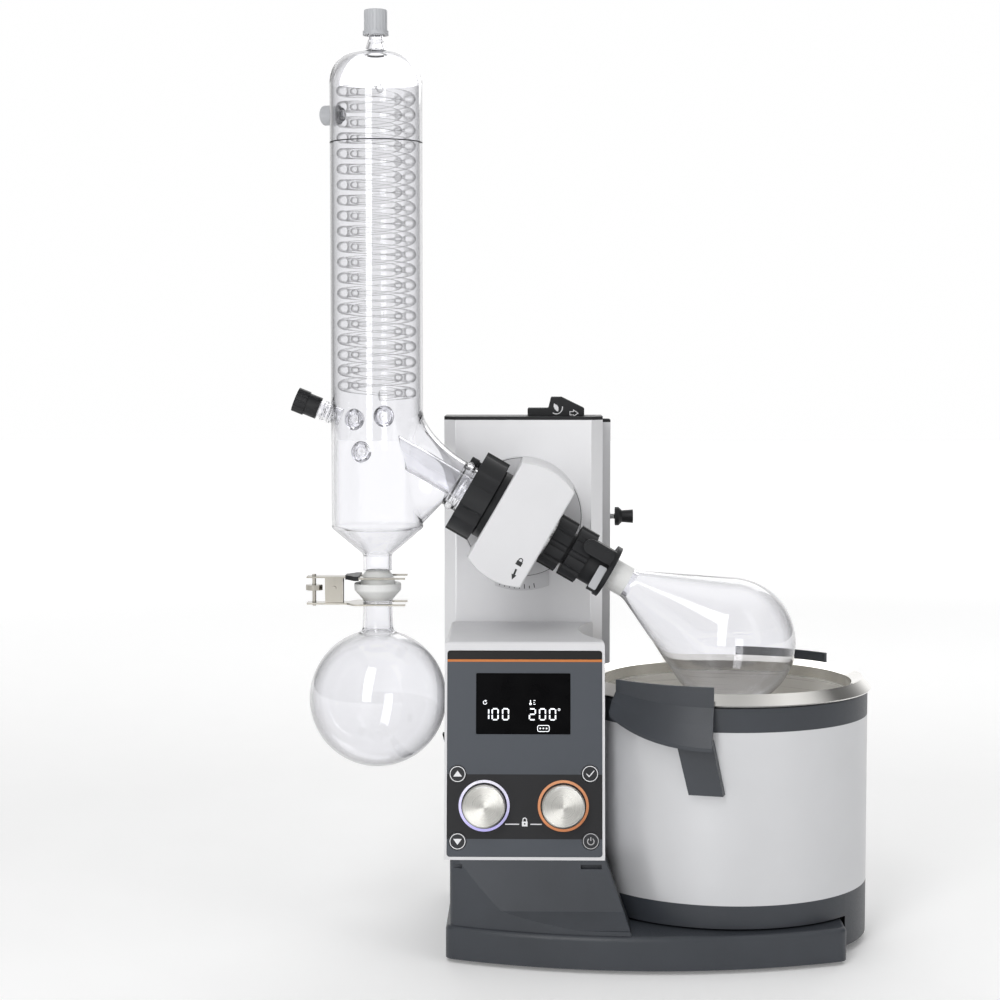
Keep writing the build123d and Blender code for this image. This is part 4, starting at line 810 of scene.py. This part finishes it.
def coil_tip(end, radius):
    """Points that lead from the end of a helix to its axis and up to the tip."""
    lead = Vector((radius * 0.9, 0, 2))
    arrive = Vector((radius * 0.55, -radius * 0.5, 21)) - lead * 0.6
    top = Vector((0, 0, end.z + tip_bend))
    bend = [hermite(end, lead, top, arrive, k / tip_steps) for k in range(1, tip_steps + 1)]
    return bend + [top + z_axis * rise for rise in (3, 6, 9, 12, tip_height - top.z)]


for coil_name, (coil_radius, tube_radius) in coil_sizes.items():
    route = helix(coil_radius)
    if coil_name == "inner_coil":
        route += coil_tip(route[-1], coil_radius)
    coil = bmesh.new()
    tube_along(coil, [condenser + point * mm for point in route], tube_radius * mm)
    piece(coil_name + "_glass", finished(coil), "head", "clear_glass", coil_name, looks=[coil_glass])


# Drawing on a sheet, which is an origin, its right, its up and its outward normal

print_low, print_high = -0.05, 0.07


def on_sheet(sheet, x, y, lift):
    origin, right, up, normal = sheet
    return origin + (right * x + up * y + normal * lift) * mm


def moved_sheet(sheet, x, y, lift=0.0):
    return (on_sheet(sheet, x, y, lift), *sheet[1:])


def slab(bm, sheet, outline, low=print_low, high=print_high):
    """Adds a flat closed prism over an outline, between two lifts from the sheet."""
    tops = [bm.verts.new(on_sheet(sheet, x, y, high)) for x, y in outline]
    feet = [bm.verts.new(on_sheet(sheet, x, y, low)) for x, y in outline]
    bm.faces.new(tops)
    bm.faces.new(feet[::-1])
    join(bm, feet, tops)


def stroke(bm, sheet, path, width, low=print_low, high=print_high, closed=False):
    """Adds a line of one width along a path on the sheet."""
    left, right = [], []
    last = len(path) - 1
    for k, point in enumerate(path):
        here = Vector(point)
        came = here - Vector(path[k - 1]) if closed or k > 0 else Vector(path[1]) - here
        goes = Vector(path[(k + 1) % len(path)]) - here if closed or k < last else came
        came.normalize()
        middle = (came + goes.normalized()).normalized()
        side = Vector((-middle.y, middle.x)) * (width / 2 / max(middle.dot(came), 0.35))
        left.append(here + side)
        right.append(here - side)
    if not closed:
        slab(bm, sheet, left + right[::-1], low, high)
        return
    loops = [(left, low), (left, high), (right, high), (right, low)]
    rings = [[bm.verts.new(on_sheet(sheet, x, y, lift)) for x, y in line] for line, lift in loops]
    for k in range(4):
        join(bm, rings[k - 1], rings[k])


def arc(x, y, radius, start, end, steps=24):
    turns = [radians(start + (end - start) * k / steps) for k in range(steps + 1)]
    return [(x + radius * cos(a), y + radius * sin(a)) for a in turns]


def circle(x, y, radius, steps=48):
    return arc(x, y, radius, 0, 360, steps)[:-1]


def padlock(bm, sheet, half, height, hoop_radius, hoop_foot, hoop_middle, line):
    """Draws a padlock that stands on the sheet's origin."""
    slab(bm, sheet, [(-half, 0), (half, 0), (half, height), (-half, height)])
    hoop = arc(0, hoop_middle, hoop_radius, 0, 180, 12)
    stroke(bm, sheet, [(hoop_radius, hoop_foot), *hoop, (-hoop_radius, hoop_foot)], line)


# Display: two numbers of three digits, each under an icon

segments = {
    "a": ((0.12, 1), (0.88, 1)),
    "b": ((1, 0.94), (1, 0.56)),
    "c": ((1, 0.44), (1, 0.06)),
    "d": ((0.12, 0), (0.88, 0)),
    "e": ((0, 0.44), (0, 0.06)),
    "f": ((0, 0.94), (0, 0.56)),
    "g": ((0.12, 0.5), (0.88, 0.5)),
}
digit_shapes = {"0": "abcdef", "1": "bc", "2": "abdeg"}
digit_width, digit_height, digit_line = 5.6, 10.4, 1.25
digit_v = 130.6
digit_places = (("1", -40.2), ("0", -31.2), ("0", -21.2), ("2", 4.6), ("0", 14.3), ("0", 24.0))
speed_icon = (-38.2, 147.0)
heat_icon = (5.6, 145.8)
degree_mark = (33.0, 140.4)
tag_left, tag_right, tag_low, tag_high = 14.0, 22.0, 121.0, 123.6
tag_corner = 1.6
icon_line = 0.6


def display_mesh():
    bm = bmesh.new()
    for digit, left in digit_places:
        for segment in digit_shapes[digit]:
            ends = [(left + x * digit_width, digit_v + y * digit_height) for x, y in segments[segment]]
            stroke(bm, panel_sheet, ends, digit_line)
    speed = moved_sheet(panel_sheet, *speed_icon)
    stroke(bm, speed, arc(0, 0, 1.7, 70, 360), 0.55)
    slab(bm, speed, [(0.3, 2.6), (0.3, 0.5), (2.0, 1.5)])
    heat = moved_sheet(panel_sheet, *heat_icon)
    stroke(bm, heat, [(0, 0.8), (0, 3.6)], 0.8)
    slab(bm, heat, circle(0, 0, 1.15, 20))
    for height, end in ((-0.4, 4.8), (1.4, 4.0), (3.2, 4.8)):
        stroke(bm, heat, [(2.8, height), (end, height)], icon_line)
    middles = [(tag_right, tag_high), (tag_left, tag_high), (tag_left, tag_low), (tag_right, tag_low)]
    tag = []
    for quarter, middle in enumerate(middles):
        tag += arc(*middle, tag_corner, 90 * quarter, 90 * quarter + 90, 5)
    stroke(bm, panel_sheet, tag, icon_line, closed=True)
    for dot in (-3.0, 0.0, 3.0):
        middle = ((tag_left + tag_right) / 2 + dot, (tag_low + tag_high) / 2)
        slab(bm, panel_sheet, circle(*middle, 0.75, 16))
    stroke(bm, panel_sheet, circle(*degree_mark, 0.95, 20), 0.5, closed=True)
    return finished(bm)


piece("display_marks", display_mesh(), "base", "ring_white", looks=[display_light])


# Padlock between the knobs, with a line to each side

lock_sheet = moved_sheet(panel_sheet, 0.2, 29.0)
panel_marks = bmesh.new()
padlock(panel_marks, lock_sheet, 2.7, 4.6, 1.75, 4.3, 6.2, 0.9)
for line_start, line_end in ((-18.8, -5.4), (5.4, 16.4)):
    stroke(panel_marks, lock_sheet, [(line_start, 2.0), (line_end, 2.0)], 1.0)
piece("panel_marks", finished(panel_marks), "base", "white_coat", looks=[printed_white])
keyhole = bmesh.new()
slab(keyhole, lock_sheet, circle(0, 2.4, 0.8, 16), print_high, print_high + 0.05)
piece("keyhole_mark", finished(keyhole), "base", "black_plastic", looks=[printed_black])


# Icons on the push buttons

button_lift = 0.8
button_ring = 7.2
button_fills = {
    "button_up": [(-4.2, -2.4), (4.2, -2.4), (0, 3.4)],
    "button_down": [(-4.2, 2.4), (0, -3.4), (4.2, 2.4)],
}
button_lines = {
    "button_set": [[(-3.6, 0.2), (-1.0, -2.6), (3.9, 3.0)]],
    "button_power": [arc(0, -0.2, 3.1, 125, 415), [(0, 0.4), (0, 3.9)]],
}


def button_mesh(button):
    corners = [Vector(c) for c in nodes[button].bound_box]
    centre = sum(corners, Vector()) / 8
    centre += panel_normal * (button_lift * mm - (centre - panel_origin).dot(panel_normal))
    sheet = (centre, *panel_sheet[1:])
    bm = bmesh.new()
    stroke(bm, sheet, circle(0, 0, button_ring), 0.75, closed=True)
    if button in button_fills:
        slab(bm, sheet, button_fills[button])
    for path in button_lines.get(button, []):
        stroke(bm, sheet, path, 0.95)
    return finished(bm)


for button in (*button_fills, *button_lines):
    ink = printed_grey if button == "button_power" else printed_white
    piece(button + "_mark", button_mesh(button), button, "white_coat", looks=[ink])


# Painted shadow: a dark ring in the gap around each knob, where shade falls between the knob and its light ring;
# and a pointer line on its face

gap_radius, gap_width, gap_low, gap_high = 21.1, 1.7, 0.7, 0.88
knob_rim_lift = 18.0
knob_line_radius = 18.6
knob_gap_shadows = bmesh.new()
knob_sheets = {}
for knob in knobs:
    at = Vector(joint[knob + "_turn"]["pos_m"]) - panel_origin
    knob_sheets[knob] = moved_sheet(panel_sheet, at.dot(x_axis) / mm, at.dot(panel_up) / mm)
    gap = circle(0, 0, gap_radius)
    # painted shadow: a black ring over the inner edge of the light ring
    stroke(knob_gap_shadows, knob_sheets[knob], gap, gap_width, gap_low, gap_high, closed=True)
piece("knob_gap_shadows", finished(knob_gap_shadows), "base", "black_plastic")
for knob, sheet in knob_sheets.items():
    mark = bmesh.new()
    stroke(mark, moved_sheet(sheet, 0, 0, knob_rim_lift), arc(0, 0, knob_line_radius, 68, 112, 16), 0.9)
    piece(knob + "_mark", finished(mark), knob, "white_coat", looks=[printed_white])


# Fine parts: clip pad, stem of the depth stop, screw on the union nut and sleeve of the clamp

clip_sheet = (pivot + front * (24.5 * mm), spin_dir, arm_up, front)
pad_right = [(95.8, 3.6), (96.7, 2.6), (96.7, -20.2), (95.8, -21.2)]
pad_left = [(89.4, -21.2), (88.4, -20.2), (88.4, 2.6), (89.4, 3.6)]
pad = bmesh.new()
slab(pad, clip_sheet, pad_right + pad_left, -1.5, 0.5)
piece("clip_pad", finished(pad), "rotor", "cap_grey")

stem_at = Vector((33.6, 152.0, 409.0)) * mm
stem_profile = [(2.55, 0), (2.9, 0.6), (2.9, 2.0), (2.55, 2.4), (2.9, 2.9), (2.9, 4.4), (2.55, 4.9)]
piece("stop_stem", turned(stem_profile, stem_at, x_axis, 24), "depth_stop", "bright_steel")

screw_at = pivot + arm_up * (26.4 * mm) + y_axis * (21.0 * mm)
screw_corners = [(0, -63.0), (3.2, -63.0), (3.2, -66.0), (4.6, -66.4, 0.4), (4.6, -74.6, 0.8), (0, -74.8)]
screw_mesh = turned(rounded(screw_corners), screw_at, spin_dir, 10, closed=False)
piece("nut_screw", screw_mesh, "condenser_nut", "black_plastic")

fork_sheet = (Vector((0, 0, 359.1)) * mm, x_axis, y_axis, z_axis)
sleeve_half = [(-236.4, 9.1), (-234.7, 9.1), (-226.4, 22.6), (-222.2, 22.6)]
sleeve_lift = 2.2
sleeve = bmesh.new()
slab(sleeve, fork_sheet, [(x, -y) for x, y in sleeve_half] + sleeve_half[::-1], -sleeve_lift, sleeve_lift)
piece("clamp_sleeve", finished(sleeve), "head", "black_plastic")


# Arrow and padlock on the head

head_sheet = (front * (50.0 * mm), x_axis, z_axis, front)
head_lock_at = (-63.0, 375.6)
head_lock_right = x_axis * 0.87 - z_axis * 0.5
head_lock_up = x_axis * 0.5 + z_axis * 0.87
arrow_tip, arrow_tail = Vector((-69.0, 361.5)), Vector((-64.6, 372.0))
arrow_head_length, arrow_head_half, arrow_shaft_half = 5.5, 2.6, 1.0


def arrow_outline():
    way = (arrow_tip - arrow_tail).normalized()
    side = Vector((-way.y, way.x))
    neck = arrow_tip - way * arrow_head_length
    shaft, head = side * arrow_shaft_half, side * arrow_head_half
    one_side = [arrow_tail + shaft, neck + shaft, neck + head]
    return one_side + [arrow_tip, neck - head, neck - shaft, arrow_tail - shaft]


head_marks = bmesh.new()
slab(head_marks, head_sheet, arrow_outline())
head_lock_sheet = (on_sheet(head_sheet, *head_lock_at, 0), head_lock_right, head_lock_up, front)
padlock(head_marks, head_lock_sheet, 3.0, 4.4, 1.9, 4.2, 5.6, 1.0)
piece("head_marks", finished(head_marks), "head", "black_plastic", looks=[printed_black])


# Painted shade line at the edge of the pivot disc, the disc's notch, and the tilt scale below it

disc_sheet = (Vector((-60.0, 60.3, 415.0)) * mm, x_axis, z_axis, front)
scale_sheet = (Vector((-60.0, 67.5, 415.0)) * mm, x_axis, z_axis, front)
disc_edge_shade_radius = 61.0
scale_outer, scale_short, scale_long = 75.2, 72.5, 70.5
scale_and_shade_marks = bmesh.new()
# painted shade: a dark line where the disc's chamfered edge falls into shade
stroke(scale_and_shade_marks, disc_sheet, circle(0, 0, disc_edge_shade_radius, 128), 0.55, closed=True)
stroke(scale_and_shade_marks, disc_sheet, [(31.6, 47.0), (31.6, 52.4)], 0.8)
for tick in range(252, 281, 4):
    inner = scale_short if tick % 8 else scale_long
    ends = [(r * cos(radians(tick)), r * sin(radians(tick))) for r in (inner, scale_outer)]
    stroke(scale_and_shade_marks, scale_sheet, ends, 0.9)
piece("scale_and_shade_marks", finished(scale_and_shade_marks), "carriage", "black_plastic", looks=[printed_black])


# Leaf in an arc and arrow on the tilt lock

slide_sheet = (Vector((0, 92.0, 0)) * mm, x_axis, z_axis, front)
leaf_sheet = moved_sheet(slide_sheet, -24.6, 526.6)
leaf_right = [(0, 5.2), (1.9, 2.2), (2.2, -0.6), (1.0, -3.2)]
leaf_left = [(-0.4, -4.4), (-1.6, -2.6), (-2.2, 0.2), (-1.7, 2.6)]
leaf_lean = Matrix.Rotation(radians(28), 2)
pointer_sheet = moved_sheet(slide_sheet, -1.9, 520.9)
pointer_half = [(-8.5, 1.7), (-4.7, 1.7), (-4.7, 3.3)]
pointer = pointer_half + [(0, 0)] + [(x, -y) for x, y in pointer_half[::-1]]
slide_marks = bmesh.new()
slab(slide_marks, leaf_sheet, [leaf_lean @ Vector(point) for point in leaf_right + leaf_left])
stroke(slide_marks, leaf_sheet, arc(0, 0, 6.4, 235, 372), 0.9)
stroke(slide_marks, pointer_sheet, pointer, 0.75, closed=True)
piece("slide_marks", finished(slide_marks), "tilt_lock", "white_coat", looks=[printed_white])


# Camera and lights

eye = Vector((-41.5, -2200.0, 586.5)) * mm
aim = Vector((-81.5, 0.0, 436.5)) * mm
light_aim = Vector((0, 0, 400.0)) * mm
camera_lens = 79.2
camera_sensor = 36.0


def stand(obj, at, target):
    """Puts an object in the scene, turned toward a target."""
    obj.location = at
    obj.rotation_mode = "QUATERNION"
    obj.rotation_quaternion = (target - obj.location).to_track_quat("-Z", "Y")
    bpy.context.scene.collection.objects.link(obj)


def area_light(name, at, size, power):
    lamp = bpy.data.lights.new(name, "AREA")
    lamp.shape = "RECTANGLE"
    lamp.size, lamp.size_y = size
    lamp.energy = power
    stand(bpy.data.objects.new(name, lamp), at, light_aim)


camera = bpy.data.objects.new("camera", bpy.data.cameras.new("camera"))
camera.data.lens = camera_lens
camera.data.sensor_width = camera_sensor
stand(camera, eye, aim)
bpy.context.scene.camera = camera

# Places and sizes of the lights are in metres, and their power is in watts
area_light("key_light", (1.7, -1.6, 1.75), (0.5, 3.2), 3)
area_light("fill_light", (-0.8, -2.4, 1.75), (0.8, 3.2), 38)
area_light("back_light", (0.3, 2.0, 1.6), (2.0, 1.0), 8)


# Floor: a pale sheet that glows more with the distance, in metres, so that it meets the backdrop's white

floor_half = 12.0
glow_start, glow_end = 0.9, 4.0
glow_near, glow_far = 0.10, 0.48


def floor_paint():
    white = (0.93, 0.93, 0.93)
    glow_color = (1, 1, 1, 1)
    mat = moulded("floor_paint", white, 0.7, grain=400.0, depth=0.001, tone=0.01, Emission_Color=glow_color)
    tree = mat.node_tree
    from_middle = vector_maths(tree, "LENGTH", place(tree), output="Value")
    glow = mapped(tree, from_middle, glow_start, glow_end, glow_near, glow_far)
    feed(tree, tree.nodes["Principled BSDF"], Emission_Strength=glow)
    return mat


floor_mesh = bpy.data.meshes.new("floor")
floor_corners = [(x * floor_half, y * floor_half, 0) for x, y in ((-1, -1), (1, -1), (1, 1), (-1, 1))]
floor_mesh.from_pydata(floor_corners, [], [(0, 1, 2, 3)])
floor_mesh.materials.append(floor_paint())
floor = bpy.data.objects.new("floor", floor_mesh)
bpy.context.scene.collection.objects.link(floor)


# World: a soft room that lights the object, and an even white backdrop for the camera

room_stops = {0.0: 0.5, 0.2: 0.45, 0.34: 0.95, 0.78: 1.0, 0.9: 0.5, 1.0: 0.5}
room_overhead = 1.15
room_behind = 1.35
flag_shade = 0.12
viewer_shade = 0.35
backdrop = (1.28, 1.28, 1.28, 1)
world_strength = 0.78


def room_light(tree):
    """The room's tone for each direction: brighter above and behind, darker at a flag and at the viewer."""
    toward = node(tree, "TexCoord").outputs["Generated"]
    side, depth, height = node(tree, "SeparateXYZ", {"Vector": toward}).outputs
    across = mapped(tree, side, -1.0, 1.0)
    wall = ramp(tree, across, [(position, (level, level, level)) for position, level in room_stops.items()])
    overhead = mapped(tree, height, 0.3, 0.9, 1.0, room_overhead)
    behind = mapped(tree, depth, 0.55, 0.9, 1.0, room_behind)
    at_back, at_right = mapped(tree, depth, 0.1, 0.35), mapped(tree, side, 0.45, 0.75)
    flag = mapped(tree, maths(tree, "MULTIPLY", at_back, at_right), low=1.0, high=flag_shade)
    off_viewer = mapped(tree, depth, -0.5, -0.1)
    beside_viewer = mapped(tree, maths(tree, "ABSOLUTE", side), 0.12, 0.5, viewer_shade, 1.0)
    level = maths(tree, "MAXIMUM", off_viewer, beside_viewer)
    for share in (flag, behind, overhead):
        level = maths(tree, "MULTIPLY", level, share)
    return node(tree, "VectorMath", {0: wall, "Scale": level}, operation="SCALE").outputs["Vector"]


world = bpy.data.worlds.new("studio")
world.use_nodes = True
sky = world.node_tree
camera_ray = node(sky, "LightPath").outputs["Is Camera Ray"]
sky_tone = node(sky, "MixRGB", {"Fac": camera_ray, "Color1": room_light(sky), "Color2": backdrop})
background = sky.nodes["Background"]
background.inputs["Strength"].default_value = world_strength
sky.links.new(sky_tone.outputs["Color"], background.inputs["Color"])
bpy.context.scene.world = world
bpy.context.scene.view_settings.view_transform = "Standard"
